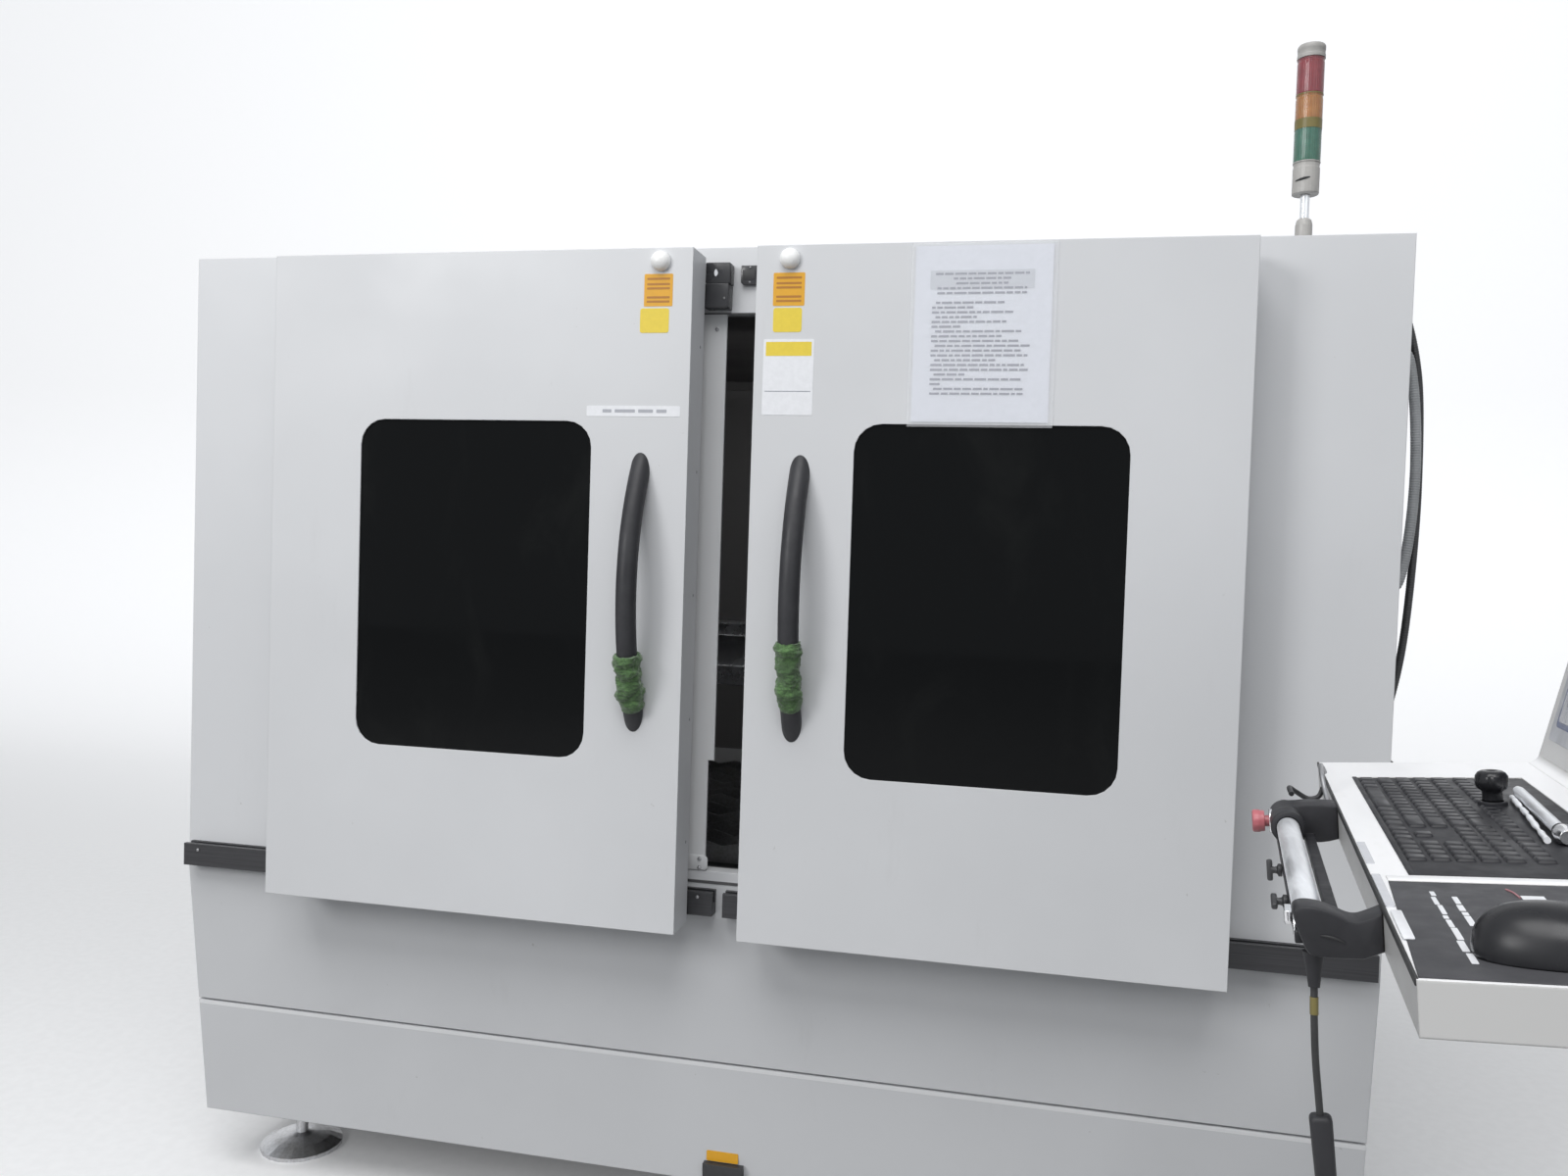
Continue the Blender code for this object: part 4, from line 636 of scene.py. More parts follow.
for word, left, right, yellow_left, yellow_right, drop in (
        ("left", -0.1394, -0.0891, -0.1454, -0.0945, 0.0015),
        ("right", 0.0838, 0.1368, 0.0851, 0.1333, 0.003)):
    body = word + "_door"
    label("tag_amber_" + word, (left, right), (1.7018 - drop, 1.756 - drop), "amber_label", body)
    middle = (left + right) / 2
    half = (right - left) * 0.4
    bars = [plate((middle - half, z - drop), (middle + half, z + 0.0036 - drop),
                  DOOR_FRONT - 0.0006, DOOR_FRONT - 0.0004, 0.001, steps=2)
            for z in (1.708, 1.715, 1.73, 1.737, 1.746)]
    piece("tag_bars_" + word, gather(bars), "amber_dark", body)
    label("tag_yellow_" + word, (yellow_left, yellow_right), (1.656, 1.6986 - drop),
          "yellow_label", body, corner=0.004)

label("tag_white", (0.0705, 0.1554), (1.52, 1.6445), "white_label", "right_door")
printed_on("tag_white_band", (0.0745, 0.1515), (1.617, 1.64), "yellow_label", "right_door", 0.001)
printed_on("tag_white_bar", (0.0745, 0.1515), (1.5585, 1.5597), "ink", "right_door", 0.0004)
label("tag_strip", (-0.2366, -0.0705), (1.5155, 1.5335), "white_label", "left_door")
for number, (left, right) in enumerate(((-0.208, -0.192), (-0.186, -0.15), (-0.144, -0.118),
                                        (-0.112, -0.094))):
    printed_on("tag_strip_bar_%d" % number, (left, right), (1.522, 1.5275), "pale_grey",
               "left_door", 0.0008)


def page_rows():
    """Plain bars where a printed page has its rows, and the band behind the first ones."""
    random.seed(11)
    dark = []
    left, right, top = 0.342, 0.506, 1.752
    lengths = [0.9, 0.55, 0.5, 0.86, 0.86, 0, 0.66, 0.4, 0.78, 0.4, 0.72, 0.28, 0.86, 0.68,
               0.84, 0.92, 0.9, 0.94, 0.62, 0.9, 0.94, 0.3, 0.88, 0.1, 0.86, 0.9]
    for number, length in enumerate(lengths):
        z = top - 0.004 - 0.0076 * number
        spot = left + (0.004 if number % 3 else 0.01)
        if number < 5:
            spot = (left + right) / 2 - length * (right - left) / 2
        end = min(spot + length * (right - left), right)
        while spot < end - 0.004:
            word = min(random.uniform(0.006, 0.02), end - spot)
            dark.append(slab(rectangle((spot, z - 0.0034), (spot + word, z)),
                             DOOR_FRONT - 0.0019, DOOR_FRONT - 0.0017))
            spot += word + 0.0022
    band = slab(rectangle((left, top - 0.03), (right, top)), DOOR_FRONT - 0.0017,
                DOOR_FRONT - 0.0015)
    piece("page_rows", gather(dark), "ink", "right_door")
    piece("page_header", band, "pale_ink", "right_door")


page_rows()


def wavy_sheet(low, high, front, thick, sway):
    """A hanging sheet with a slow ripple that grows toward its foot."""
    shape = bmesh.new()
    count = 24
    rims = []
    for depth in (front - thick, front):
        rows = []
        for level in range(count + 1):
            z = low[1] + (high[1] - low[1]) * level / count
            rows.append([shape.verts.new((
                low[0] + (high[0] - low[0]) * step / count,
                depth - sway * (1 - level / count) * (0.5 + 0.5 * sin(
                    3.1 * step / count * 2 + 1.3 * level / count)), z)) for step in range(count + 1)])
        skin(shape, rows, closed=False)
        rims.append(rows[0][:-1] + [row[-1] for row in rows[:-1]] + rows[-1][:0:-1]
                    + [row[0] for row in rows[:0:-1]])
    skin(shape, rims)
    return outward(shape)


piece("page", slab(rectangle((0.318, 1.511), (0.534, 1.791)), DOOR_FRONT - 0.0014,
                   DOOR_FRONT - 0.0006), "page", "right_door")
piece("page_sleeve", wavy_sheet((0.312, 1.503), (0.541, 1.7955), DOOR_FRONT - 0.0021, 0.0003,
                                0.0025), "sleeve", "right_door", angle=80)

screws("return_screws_left", [(-0.0566, -0.051, z) for z in (0.785, 0.999, 1.214, 1.427, 1.641)],
       0.0032, (1, 0, 0), "left_door")
screws("return_screws_right", [(0.8385, -0.052, z) for z in (0.76, 1.04, 1.322, 1.604)],
       0.0034, (1, 0, 0), "right_door")


def bow_point(x, z):
    """A point on the handle's centre line at a height."""
    radius = (HANDLE_CHORD ** 2 / 4 + HANDLE_RISE ** 2) / (2 * HANDLE_RISE)
    centre = DOOR_FRONT - HANDLE_RISE + radius
    return Vector((x, centre - sqrt(radius ** 2 - (z - HANDLE_Z) ** 2), z))


def handle(word, x):
    """A bowed black tube whose ends run into the door."""
    reach = HANDLE_CHORD / 2 + 0.03
    path = [bow_point(x, HANDLE_Z + reach * sin(pi * step / 144))
            for step in range(-72, 73)]
    shape = sweep(path, HANDLE_RADIUS, 36)
    every = shape.verts[:] + shape.edges[:] + shape.faces[:]
    sliced = bmesh.ops.bisect_plane(shape, geom=every, plane_co=(0, DOOR_FRONT - 0.0004, 0),
                                    plane_no=(0, 1, 0), clear_outer=True)["geom_cut"]
    bmesh.ops.edgeloop_fill(shape, edges=[item for item in sliced
                                          if isinstance(item, bmesh.types.BMEdge)])
    thing = piece("bow_handle_" + word, shape, "handle_black", word + "_door", angle=50)
    stand_in(thing, "handle_" + word)


handle("left", -HANDLE_X)
handle("right", HANDLE_X)


def wrap(word, x, low, high, girth, seed):
    """Layers of crinkled tape wound round the handle's lower end."""
    shape = bmesh.new()
    rings, sides = 110, 72
    offset = Vector((seed * 3.7, seed * 1.9, 0))
    grid = []
    for level in range(rings + 1):
        share = level / rings
        z = low + (high - low) * share
        middle = bow_point(x, z)
        slope = (bow_point(x, z + 0.002) - bow_point(x, z - 0.002)).normalized()
        out = slope.cross(Vector((1, 0, 0))).normalized()
        ring = []
        for side in range(sides):
            turn = tau * side / sides
            direction = Vector((cos(turn), 0, 0)) + out * sin(turn)
            spot = middle + direction * 0.024
            lump = noise.fractal(spot * 55 + offset, 1, 2, 3)
            fold = noise.fractal(Vector((spot.x * 60, spot.y * 60, spot.z * 240)) + offset,
                                 0.9, 2.1, 3)
            layer = 0.0022 * (0.5 + 0.5 * sin(share * 21 + turn * 0.9 + seed))
            size = girth + 0.0042 * lump + 0.0016 * fold + layer
            size += 0.003 * exp(-((share - 0.9) / 0.07) ** 2)
            size += 0.0022 * exp(-((share - 0.3) / 0.09) ** 2)
            if share < 0.06:
                size *= 0.86 + 0.14 * share / 0.06
            ragged = 0.0035 * noise.noise(Vector((turn * 2.2, seed, 0)))
            lift = ragged * max(0, (share - 0.85) / 0.15)
            size = max(size, HANDLE_RADIUS + 0.0007)
            place = middle + direction * size + slope * lift
            place.y = min(place.y, DOOR_FRONT - 0.0012)
            ring.append(shape.verts.new(place))
        grid.append(ring)
    skin(shape, grid)
    for ring, z in ((grid[0], low), (grid[-1], high)):
        middle = bow_point(x, z)
        hole = HANDLE_RADIUS + 0.0004
        inner = [shape.verts.new(middle + (vert.co - middle).normalized() * hole)
                 for vert in ring]
        skin(shape, [ring, inner])
    thing = piece("tape_wrap_" + word, outward(shape), "green_wrap", word + "_door", angle=70)
    stand_in(thing, "handle_wrap_" + word)


wrap("left", -HANDLE_X, 1.0215, 1.1155, 0.0204, 1)
wrap("right", HANDLE_X, 1.039, 1.15, 0.0186, 4)


# Front face, post, header and rails

screws("post_screws", [(-0.04, 0, 1.6805), (-0.0433, -0.0016, 0.7446),
                       (-0.0433, -0.0016, 0.7289)], 0.0036)
foot = [(-0.0745, 0.7242), (-0.033, 0.7242), (-0.0285, 0.729), (-0.0285, 0.746),
        (-0.0333, 0.751), (-0.0745, 0.751)]
piece("post_foot", slab(foot, -0.0016, -0.0002, "y", 0.0004), "post_paint")
for name, low, high, near, far, corner, steps in (
        ("post_edge", (-0.0712, 0.7515), (-0.0692, 1.704), -0.0006, -0.0001, 0.0004, 2),
        ("sill_gasket", (-0.73, 0.7016), (0.73, 0.7066), -0.001, -0.0002, 0.0015, 3),
        ("header_gasket", (-0.739, 1.7062), (0.739, 1.7086), -0.0012, -0.0002, 0.0008, 3)):
    piece(name, plate(low, high, near, far, corner, steps=steps), "seam_grey")
sensor = slab([(0.002, 1.76), (0.006, 1.7556), (0.03, 1.7556), (0.03, 1.7889),
               (0.002, 1.7889)], -0.0085, -0.0002, "y", 0.001)
piece("door_sensor", sensor, "satin_black")
piece("sensor_face", plate((0.005, 1.7645), (0.0275, 1.7812), -0.0091, -0.0083, 0.002,
                           rim=0.0002), "gasket")
screws("sensor_screws", [(0.018, -0.0085, z) for z in (1.7852, 1.7598)], 0.0018)
case = gather([plate((-0.0574, 1.7127), (-0.014, 1.7546), -0.028, -0.0003, 0.0022, rim=0.001),
               plate((-0.0566, 1.7549), (-0.0125, 1.7908), -0.0268, -0.0003, 0.0022, rim=0.001)])
stand_in(piece("switch_case", case, "satin_black"), "interlock_switch")
screws("switch_screws", [(-0.0215, -0.028, 1.729)], 0.002)
mark = slab([(-0.0383, 1.7665), (-0.0354, 1.769), (-0.0344, 1.773), (-0.036, 1.7775),
             (-0.0383, 1.7795), (-0.0404, 1.7768), (-0.041, 1.7722), (-0.0402, 1.7686)],
            -0.0273, -0.0267)
piece("switch_mark", mark, "white_label")
screws("rail_screws_lower", [(-1.0421, -0.028, 0.682), (-0.0374, -0.028, 0.684)], 0.003)
screws("rail_screws_upper", [(x, -0.028, 1.738) for x in (-0.812, -0.085, 0.085, 0.812)],
       0.0036, look="satin_black")
label("tag_skirt", (-0.0295, 0.0305), (0.1735, 0.1925), "amber_label", "machine",
      front=(0.64 - 0.183) * 0.127 - 0.0012)


# Stack light rings

def stack_turned(name, profile, look):
    """A turned shape; its profile says how far it stands out from the stack's radius."""
    profile = [(STACK_RADIUS + out, height) for out, height in profile]
    return piece(name, lathe(profile, 48), look, place=Matrix.Translation(STACK + SHIFT))


def tier(low, high):
    """A lens with a stepped foot and a bead at its top."""
    return [(STACK_AXIS, low), (-0.0012, low), (-0.0004, low + 0.0012), (0, low + 0.003),
            (0, high - 0.0075), (-0.0007, high - 0.0066), (-0.0007, high - 0.003),
            (-0.0002, high - 0.0024), (-0.0002, high - 0.0003), (STACK_AXIS, high - 0.0003)]


for name, look, low, high in (("green", "green_lens", GREEN_BOTTOM, AMBER_BOTTOM),
                              ("amber", "amber_lens", AMBER_BOTTOM, RED_BOTTOM),
                              ("red", "red_lens", RED_BOTTOM, CAP_BOTTOM)):
    tier_piece = stack_turned("lens_tier_" + name, tier(low + 0.0003, high), look)
    stand_in(tier_piece, "stack_lens_" + name)
for number, (low, high, look) in enumerate((
        (GREEN_BOTTOM - 0.0012, GREEN_BOTTOM + 0.0014, "ivory_plastic"),
        (AMBER_BOTTOM - 0.011, AMBER_BOTTOM + 0.007, "seam_brown"),
        (RED_BOTTOM - 0.0014, RED_BOTTOM + 0.0012, "seam_brown")), 1):
    ring = [(-0.0014, low), (0.0003, low + 0.0003), (0.0003, high - 0.0003), (-0.0014, high)]
    stack_turned("stack_ring_%d" % number, ring, look)
cap = [(STACK_AXIS, CAP_BOTTOM + 0.0003), (0.001, CAP_BOTTOM + 0.0003),
       (0.001, CAP_BOTTOM + 0.006), (0.0003, CAP_BOTTOM + 0.0068), (0.0003, STACK_TOP - 0.011),
       (0.0008, STACK_TOP - 0.01), (0.0008, STACK_TOP - 0.004), (-0.001, STACK_TOP - 0.001),
       (-0.004, STACK_TOP), (STACK_AXIS, STACK_TOP)]
stand_in(stack_turned("stack_hood", cap, "ivory_plastic"), "stack_cap")
slot = []
for step in range(13):
    x = -0.019 + 0.022 * step / 12
    reach = STACK_RADIUS + 0.0001
    slot.append(STACK + Vector((x, -sqrt(reach ** 2 - x ** 2), 1.976 + 0.004 * step / 12)))
slot = sweep(slot, lambda index: 0.0009 + 0.0013 * sin(pi * index / 12), 10)
piece("stack_slot", slot, "gasket")


# Hoses on the side wall

def ribbed_hose(name, points, radius, look, replaced, pitch=0.0042):
    """Corrugated conduit between two glands."""
    path = smooth_path(points, 60)
    length = [0]
    for before, after in zip(path, path[1:]):
        length.append(length[-1] + (after - before).length)
    total = length[-1]
    count = int(total / (pitch / 4))
    even, seek = [], 0
    for index in range(count + 1):
        goal = total * index / count
        while seek < len(path) - 2 and length[seek + 1] < goal:
            seek += 1
        part = (goal - length[seek]) / max(length[seek + 1] - length[seek], 1e-9)
        even.append(path[seek].lerp(path[seek + 1], min(max(part, 0), 1)))
    shape = sweep(even, lambda index: radius * (1, 0.95, 0.88, 0.95)[index % 4], 18)
    thing = piece(name, shape, look, angle=60)
    stand_in(thing, replaced)
    nut = [(radius * 1.05, 0.0115), (radius * 1.55, 0.0105), (radius * 1.65, 0.0085),
           (radius * 1.65, 0.003), (radius * 1.8, 0.0028), (radius * 1.8, 0.0001)]
    nuts = [turned(nut, 12, (1, 0, 0), end) for end in (points[0], points[-1])]
    glands = piece(name + "_glands", gather(nuts), "satin_black")


wall = HALF + 0.0003
grey = [(0, 1.652), (0.01, 1.652), (0.023, 1.64), (0.035, 1.56), (0.04, 1.455),
        (0.035, 1.35), (0.023, 1.28), (0.01, 1.268), (0, 1.268)]
ribbed_hose("conduit_grey", [(wall + out, 0.1, height) for out, height in grey], 0.0085,
            "grey_hose", "grey_hose")
black = [(0, 1.716), (0.009, 1.716), (0.024, 1.702), (0.044, 1.6), (0.05, 1.44),
         (0.047, 1.3), (0.038, 1.17), (0.022, 1.076), (0.009, 1.062), (0, 1.062)]
ribbed_hose("conduit_black", [(wall + out, 0.119, height) for out, height in black], 0.0065,
            "black_hose", "black_hose")


# Console: pad, divider, labels, gasket, keys and mouse

def on_console(name, shape, look, angle=35):
    return piece(name, shape, look, "console", CONSOLE, angle)


on_console("mouse_pad", slab([(0.0015, -0.866), (0.292, -0.866), (0.292, -0.622), (0.012, -0.622)],
                             0.0001, 0.0009, "z", 0.0003), "mouse_pad")
for number, (x, near, far) in enumerate(((0.038, -0.834, -0.651), (0.052, -0.746, -0.667))):
    random.seed(5 + number)
    spot, shapes = near, []
    while spot < far - 0.004:
        part = random.uniform(0.008, 0.03)
        wide = 0.0021 * random.uniform(0.75, 1.1)
        drift = random.uniform(-0.0006, 0.0006)
        shapes.append(plate((x + drift - wide, spot), (x + drift + wide, min(spot + part, far)),
                            0.0008, 0.0012, 0.0006, "z", 2))
        spot += part + random.uniform(0.0015, 0.004)
    on_console("pad_strip_%d" % number, gather(shapes), "white_label")
on_console("pad_note", plate((0.0975, -0.668), (0.113, -0.6575), 0.0008, 0.0012, 0.0008, "z", 2),
           "white_label")
thread = smooth_path([(0.0915, -0.64, 0.0013), (0.0945, -0.65, 0.0015),
                      (0.0962, -0.664, 0.0013)])
on_console("pad_thread", sweep(thread, 0.0007, 8), "pink_tape")
on_console("tray_gasket", block((-0.001, -0.868, -0.0046), (0.0014, -0.002, 0.001), 0.0007),
           "gasket")
for name, low, high, bottom, top, corner, rim, look in (
        ("rim_tape_far", (0.0022, -0.56), (0.0088, -0.475), 0.0001, 0.0006, 0.0015, 0,
         "clear_tape"),
        ("rim_tape_near", (0.0016, -0.7), (0.0082, -0.6), 0.0001, 0.0011, 0.0015, 0,
         "clear_tape"),
        # Painted highlight: a white plate on the rim where a bright patch of light lies.
        ("rim_highlight_plate", (0.0028, -0.786), (0.0105, -0.714), 0.0009, 0.002, 0.0012, 0.0004,
         "white_label")):
    on_console(name, plate(low, high, bottom, top, corner, "z", rim=rim), look)
on_console("tray_divider", block((0.012, -0.6195, -0.0004), (0.29, -0.6035, 0.001), 0.0005),
           "console_white")

KEY = 0.0186
JOG = Vector((0.1475, -0.278, 0))


def key_cap(x, y, width):
    """A low key with sloped sides and a rounded top."""
    shape = bmesh.new()
    rings = []
    for inset, corner, z in ((0, 0.0012, -0.0012), (0.0013, 0.0014, 0.00135),
                             (0.0019, 0.0014, 0.0018)):
        half_x, half_y = (KEY - 0.003) / 2 - inset, (width * KEY - 0.0026) / 2 - inset
        outline = rounded((x - half_x, y - half_y), (x + half_x, y + half_y), corner, 2)
        rings.append([shape.verts.new((*pair, z)) for pair in outline])
    skin(shape, rings)
    shape.faces.new(rings[-1])
    shape.faces.new(rings[0])
    return outward(shape)


def keyboard():
    """The plate with its near rim and the knob's collar, and a full set of keys."""
    shapes = [plate((0.0303, -0.5967), (0.2057, -0.1123), -0.0046, -0.0008, 0.004, "z",
                    rim=0.0008),
              slab(rectangle((0.0303, -0.5967), (0.035, -0.1123)), -0.001, 0.0006, "z", 0.0004)]
    keys = []

    def add(x, y, wide=1):
        if (Vector((x, y)) - JOG.xy).length > 0.0185:
            keys.append(key_cap(x, y, wide))

    rows = ((1.25, 1.25, 1.25, 6.25, 1.25, 1.25, 1.25, 1.25), (2.25,) + (1,) * 10 + (2.75,),
            (1.75,) + (1,) * 11 + (2.25,), (1.5,) + (1,) * 12 + (1.5,), (1,) * 13 + (2,),
            (1,) * 15)
    far = -0.1205
    for row, widths in enumerate(rows):
        x = 0.044 + KEY * row + (0.004 if row == 5 else 0)
        y = far
        for width in widths:
            add(x, y - width * KEY / 2, width)
            y -= width * KEY
        block_far = far - 15.35 * KEY
        for column in range(3):
            if row in (0, 3, 4, 5) or (row == 1 and column == 1):
                add(x, block_far - (column + 0.5) * KEY)
        pad_far = block_far - 3.3 * KEY
        for column in range(4):
            add(x, pad_far - (column + 0.5) * KEY)
    collar = lathe([(0.0103, -0.002), (0.014, -0.002), (0.0135, 0.003), (0.0125, 0.0037),
                    (0.0103, 0.0037)], 32)
    shapes.append(moved(collar, Matrix.Translation(JOG)))
    base = on_console("key_plate", gather(shapes), "key_plate")
    stand_in(base, "keyboard")
    on_console("key_caps", gather(keys), "key_cap")


def jog_knob():
    """A fluted mushroom knob with a dimpled top."""
    shape = lathe([(0, 0.0076), (0.0094, 0.0076), (0.0094, 0.015), (0.01, 0.017),
                   (0.014, 0.02), (0.0154, 0.023), (0.0156, 0.028), (0.015, 0.0325),
                   (0.0128, 0.0358), (0.01, 0.0374), (0.0065, 0.0378), (0.0045, 0.0372),
                   (0.003, 0.0362), (0, 0.0358)], 64)
    knob = piece("jog_mushroom", flute(shape, 0.019, 0.035, 7, 0.085, 6), "mouse_black",
                 "jog_button", CONSOLE @ Matrix.Translation(JOG - Vector((0, 0, 0.003))), 50)
    stand_in(knob, "jog_button")


keyboard()
jog_knob()
latch_path = [Vector((0.1785, -0.236, 0.0068)).lerp(Vector((0.171, -0.472, 0.0068)), step / 24)
              for step in range(25)]
on_console("latch_bar", sweep(latch_path[:23], lambda index: 0.0058 if index else 0.0048, 24),
           "grip_metal")
on_console("latch_bar_ring", sweep(latch_path[21:23], 0.0074, 24), "gasket")
on_console("latch_bar_end", sweep(latch_path[22:], lambda index: (0.0086, 0.009, 0.0062)[index],
                                  28), "chrome")
# Painted highlight: a white strap along the latch bar's left side stands in for its bright
# highlights.
highlight_strap = smooth_path([(0.17, -0.25, 0.0024), (0.1668, -0.285, 0.0044),
                     (0.1662, -0.32, 0.0026), (0.1625, -0.36, 0.0048),
                     (0.1602, -0.41, 0.0026), (0.157, -0.463, 0.0024)], 10)
on_console("latch_highlight_strap", sweep(highlight_strap, lambda index: 0.0025 + 0.0009 * sin(index * 0.8)
                                  * sin(index * 0.27), 12), "white_label")


def mouse_shape():
    """A low rounded shell with a parted pair of buttons; its wheel is a piece of its own."""
    shape = bmesh.new()
    along, around = 40, 48
    rings = []
    for step in range(1, along):
        share = step / along
        angle = pi * share
        reach = -0.058 * cos(angle)
        width = 0.031 * (sin(angle) ** 0.62) * (1 - 0.07 * cos(2 * angle))
        height = 0.036 * (sin(angle) ** 0.7) * (1 - 0.22 * reach / 0.058)
        ring = []
        for side in range(around):
            turn = tau * side / around
            y = width * cos(turn)
            z = 0.94 * height * sin(turn)
            if z < 0:
                z *= 0.02
            if reach > 0.012 and z > 0:
                z -= 0.0009 * exp(-(y / 0.0011) ** 2)
            ring.append(shape.verts.new((reach, y, z + 0.0016)))
        rings.append(ring)
    skin(shape, rings)
    for ring, reach in ((rings[0], -0.0578), (rings[-1], 0.0578)):
        tip = shape.verts.new((reach, 0, 0.004))
        for side in range(around):
            shape.faces.new((ring[side], ring[(side + 1) % around], tip))
    return outward(shape)


mouse = CONSOLE @ Matrix.Translation((0.098, -0.811, 0))
stand_in(piece("mouse_shell", mouse_shape(), "mouse_black", "console", mouse, 60), "mouse")
wheel = moved(lathe([(0, -0.0028), (0.0085, -0.0028), (0.0098, -0.0012), (0.0098, 0.0012),
                     (0.0085, 0.0028), (0, 0.0028)], 28),
              Matrix.Translation((0.03, 0, 0.0215)) @ Matrix.Rotation(pi / 2, 4, "X"))
piece("mouse_wheel", wheel, "gasket", "console", mouse)


# Console: grip, brackets, levers and screen edge

GRIP = Vector((-0.0505, 0, -0.0165))


def arc(centre, radius, begin, finish, steps):
    turns = [radians(begin + (finish - begin) * step / steps) for step in range(steps + 1)]
    return [(centre[0] + radius * cos(turn), centre[1] + radius * sin(turn))
            for turn in turns]


def curve_through(*pairs):
    return [(spot.x, spot.y) for spot in smooth_path([(*pair, 0) for pair in pairs], 5)]


def grip():
    """Two castings with the hub, two rails and the button's collar, a slot, and the tube."""
    far = [(-0.0004, -0.035), (-0.0004, -0.0002)] + curve_through(
        (-0.006, 0.0006), (-0.02, 0.0012), (-0.031, 0.001), (-0.04, 0)) + arc(
        (GRIP.x, GRIP.z), 0.0162, 84, 264, 20) + curve_through(
        (-0.04, -0.0345), (-0.03, -0.0376), (-0.02, -0.0388), (-0.01, -0.0376))
    near = [(-0.0004, -0.035), (-0.0004, -0.005)] + curve_through(
        (-0.008, -0.0085), (-0.017, -0.0118), (-0.024, -0.0112), (-0.032, -0.0076),
        (-0.042, -0.0038), (-0.052, -0.0022), (-0.059, -0.0032), (-0.0626, -0.0072),
        (-0.061, -0.017), (-0.0573, -0.0287), (-0.0535, -0.0375), (-0.048, -0.0405),
        (-0.035, -0.0412), (-0.015, -0.041))
    hub = [(0.0118, 0), (0.015, 0), (0.0168, 0.0015), (0.017, 0.006), (0.0165, 0.008),
           (0.0166, 0.07), (0.0155, 0.0718), (0, 0.072)]
    collar = [(0.0068, 0), (0.011, 0), (0.0124, -0.0016), (0.0125, -0.006), (0.0125, -0.017)]
    casting = gather([
        slab(far, -0.2995, -0.2625, "y", 0.0022),
        slab(near, -0.6995, -0.6705, "y", 0.003),
        turned(hub, 40, (0, 1, 0), (GRIP.x, -0.3348, GRIP.z)),
        block((-0.034, -0.674, -0.039), (-0.024, -0.288, -0.029), 0.0015),
        block((-0.0614, -0.674, -0.038), (-0.0535, -0.288, -0.0292), 0.0012),
        turned(collar, 32, (-1, 0, 0), (-0.0673, -0.281, -0.02))])
    stand_in(on_console("grip_casting", casting, "grip_black", 40), "grip_frame")
    slot = [Vector((-0.044 + 0.017 * step / 8, -0.7001, -0.0235 - 0.005 * (step / 8) ** 2))
            for step in range(9)]
    on_console("grip_slot", sweep(slot, lambda index: 0.0004 + 0.0007 * sin(
        pi * index / 8), 8), "gasket")
    tube = [(0, 0), (0.0106, 0), (0.011, 0.0006), (0.011, 0.334), (0.0106, 0.3346), (0, 0.3346)]
    bar = piece("grip_chrome", lathe(tube, 48), "grip_metal", "console",
                CONSOLE @ facing((0, 1, 0), (GRIP.x, -0.6698, GRIP.z)))
    stand_in(bar, "grip_tube")


def stop_button():
    """A mushroom push button on a short skirt, with a ribbed rim and a dished face."""
    shape = lathe([(0, -0.0065), (0.006, -0.0065), (0.006, 0.0046), (0.0108, 0.0046),
                   (0.0112, 0.006), (0.0112, 0.0085), (0.012, 0.01), (0.0121, 0.0112),
                   (0.0121, 0.015), (0.0114, 0.0166), (0.01, 0.0172), (0.007, 0.0167),
                   (0.004, 0.0161), (0, 0.0159)], 60)
    button = piece("stop_mushroom", flute(shape, 0.009, 0.016, 12, 0.03), "red_button",
                   "stop_button", CONSOLE @ facing((-1, 0, 0), (-0.0675, -0.281, -0.02)), 50)
    stand_in(button, "stop_button")
    ring = turned([(0.0126, 0), (0.013, 0.0004), (0.013, 0.003), (0.0126, 0.0034)], 32,
                  (-1, 0, 0), (-0.064, -0.281, -0.02))
    on_console("stop_ring", ring, "chrome")


def wing_lever(word, y, lean, body):
    """A clamp screw: a hub, a waisted stem and a flat cross handle on its end."""
    stem = lathe([(0, 0), (0.0056, 0), (0.006, 0.0008), (0.006, 0.0034), (0.0036, 0.0046),
                  (0.003, 0.007), (0.0036, 0.0096), (0, 0.01)], 20)
    wings = block((-0.003, -0.01, 0.0084), (0.003, 0.01, 0.0136), 0.0018, 3)
    shape = moved(gather([stem, wings]), Matrix.Rotation(radians(lean), 4, "Z"))
    axis = Matrix.Translation((-0.0618, y, -0.0335)) @ Matrix(
        ((0, 0, -1, 0), (1, 0, 0, 0), (0, -1, 0, 0), (0, 0, 0, 1)))
    lever = piece("wing_screw_" + word, shape, "black_plastic", body, CONSOLE @ axis)
    stand_in(lever, "wing_lever_" + word)


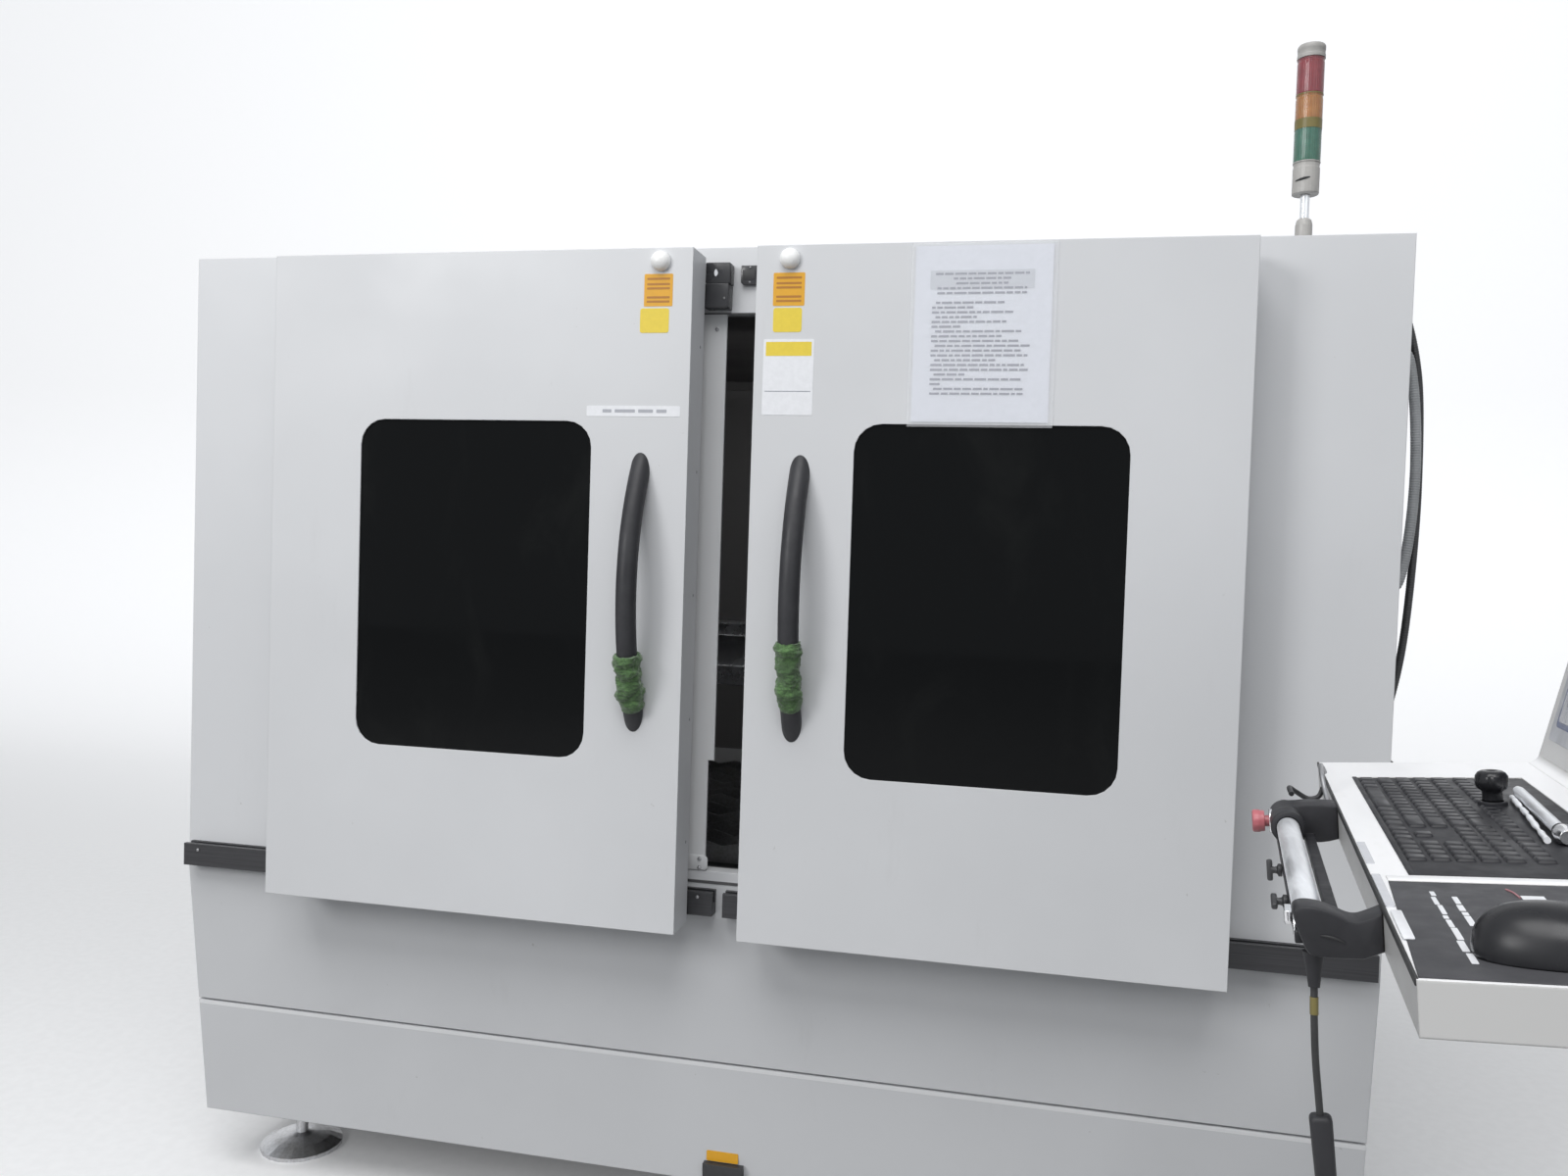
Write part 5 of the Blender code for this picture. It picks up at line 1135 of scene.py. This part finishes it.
grip()
stop_button()
wing_lever("far", -0.45, 10, "far_lever")
wing_lever("near", -0.565, 75, "near_lever")
nut = turned([(0.004, 0), (0.0078, 0), (0.0082, 0.001), (0.0082, 0.005), (0.0066, 0.006),
              (0.004, 0.006)], 6, (-1, 0, 0), (-0.0616, -0.633, -0.026))
on_console("grip_nut", nut, "chrome")
ring = turned([(0.006, 0), (0.0098, 0), (0.01, 0.0008), (0.0098, 0.0016), (0.006, 0.0016)],
              32, (-1, 0, 0), (-0.06, -0.656, -0.03))
on_console("grip_washer", ring, "chrome")
for name, radius, look, points in (
        ("grip_hook_left", 0.0028, "black_plastic",
         [(-0.043, -0.262, 0.006), (-0.044, -0.24, 0.009), (-0.037, -0.225, 0.002),
          (-0.025, -0.222, -0.006), (-0.014, -0.222, -0.004), (-0.0085, -0.222, 0.006)]),
        ("grip_hook_right", 0.0026, "screw",
         [(-0.005, -0.262, -0.012), (-0.0075, -0.235, 0.004), (-0.009, -0.215, 0.02),
          (-0.0078, -0.19, 0.026), (-0.003, -0.17, 0.015)])):
    on_console(name, sweep(smooth_path(points), radius, 12), look)
cove_line = [(0.2449, -0.0004)] + arc((0.2323, 0.0158), 0.016, -90, -17.5, 8)
on_console("screen_cove", slab(cove_line[::-1], -0.869, -0.0015, "y"), "console_white", 60)


def screen_face():
    """The bezel, the blue surround and the face of the display, proud of its glass."""
    low, high = (-0.573, 0.055), (-0.043, 0.36)
    for margin, depth, look, name in ((0.022, 0.0008, "bezel_grey", "screen_bezel"),
                                      (0.0045, 0.0014, "screen_blue", "screen_surround"),
                                      (-0.002, 0.0018, "screen_face", "screen_panel")):
        face = plate([value - margin for value in low], [value + margin for value in high],
                     -depth, -0.0002, 0.006, "x", 4, 0.0003)
        piece(name, face, look, "console", SCREEN)


screen_face()
cable = smooth_path([(-0.049, -0.686, -0.0395), (-0.0498, -0.688, -0.064),
                     (-0.051, -0.69, -0.09), (-0.0516, -0.69, -0.12),
                     (-0.0508, -0.69, -0.15), (-0.0503, -0.69, -0.166)], 10)
hanging = on_console("pendant_cable", sweep(cable, 0.0027, 14), "gasket")
sleeve = sweep(cable[:12], lambda index: 0.0085 - 0.0042 * (index / 11) ** 0.7, 18)
sleeve = on_console("pendant_sleeve", sleeve, "grip_black")
pendant = block((-0.0084, -0.0074, -0.104), (0.0084, 0.0074, 0), 0.0042, 4)
for vert in pendant.verts:
    vert.co.x *= 1 - 0.18 * (-vert.co.z / 0.104)
lean = Matrix.Rotation(radians(-2), 4, "Y")
moved(pendant, Matrix.Translation((-0.0502, -0.69, -0.164)) @ lean)
pendant = on_console("pendant_body", pendant, "grip_black")
tape = on_console("pendant_tape", sweep(cable[14:20], 0.0032, 14), "seam_brown")


# Stage, light and camera

def cove():
    """A floor that curves up into a backdrop."""
    shape = bmesh.new()
    profile = [(-14, 0), (3.6, 0)]
    for step in range(1, 13):
        angle = radians(90 * step / 12)
        profile.append((3.6 + 2.4 * sin(angle), 2.4 - 2.4 * cos(angle)))
    profile.append((6, 12))
    skin(shape, [[shape.verts.new((x, y, z)) for x in (-18, 20)] for y, z in profile],
         closed=False)
    mesh = bpy.data.meshes.new("cove")
    shape.to_mesh(mesh)
    shape.free()
    mesh.shade_smooth()
    look = Look("cove", (0.8, 0.8, 0.805), 0.7)
    look.film(look.grain(40, 4, 0.6), 0.3, 0.7, (0.83, 0.83, 0.835))
    seen = look.background_seen()
    look.tint = look.blend(seen, (0.1, 0.1, 0.1), look.tint)
    depth = look.spread(look.axes(look.place)[1], 0.5, 6, 0.1, 0.52)
    look.feed(look.times(seen, depth), look.shader["Emission Strength"])
    look.shader["Emission Color"].default_value = (0.97, 0.98, 1, 1)
    mesh.materials.append(look.finish())
    show("cove", mesh)


def lamp(name, place, aim, size, power, colour=(1, 1, 1)):
    light = bpy.data.lights.new(name, "AREA")
    light.shape = "RECTANGLE"
    light.size, light.size_y = size
    light.energy = power
    light.color = colour
    thing = show(name, light)
    thing.location = place
    thing.rotation_euler = (Vector(aim) - Vector(place)).to_track_quat("-Z", "Y").to_euler()


def set_world():
    world = bpy.data.worlds.new("studio")
    bpy.context.scene.world = world
    world.use_nodes = True
    nodes = Nodes(world.node_tree)
    background = nodes.tree.nodes["Background"].inputs
    background["Color"].default_value = (0.92, 0.96, 1, 1)
    strength = nodes.maths("ADD", 0.36, nodes.times(nodes.background_seen(), 0.44))
    nodes.feed(strength, background["Strength"])


cove()
set_world()
lamp("key", (-2.6, -5.4, 3.6), (0.9, 0, 0.9), (2, 2), 135)
lamp("overhead", (0.7, -5, 8.6), (0.9, 0.2, 0.9), (6.5, 5), 560)
lamp("fill", (4.6, -4.6, 3), (1.2, -0.2, 1), (3, 3), 20)
lamp("cabin", (0.965, 0.35, 1.7), (0.965, 0.9, 0.8), (1.4, 0.2), 1.8)

scene = bpy.context.scene
scene.view_settings.view_transform = "Standard"
camera = bpy.data.cameras.new("camera")
camera.sensor_width = 36
camera.lens = 28.33
camera.clip_start = 0.05
camera.clip_end = 60
eye = show("camera", camera)
right = Vector((0.97584901, 0.21607963, 0.03206707))
up = Vector((-0.03857343, 0.02596017, 0.9989185))
ahead = Vector((-0.21501347, 0.97603057, -0.03366814))
pose = Matrix((right, up, -ahead)).transposed().to_4x4()
pose.translation = Vector((0.55653, -2.09791, 1.30405)) + SHIFT
eye.matrix_world = pose
scene.camera = eye
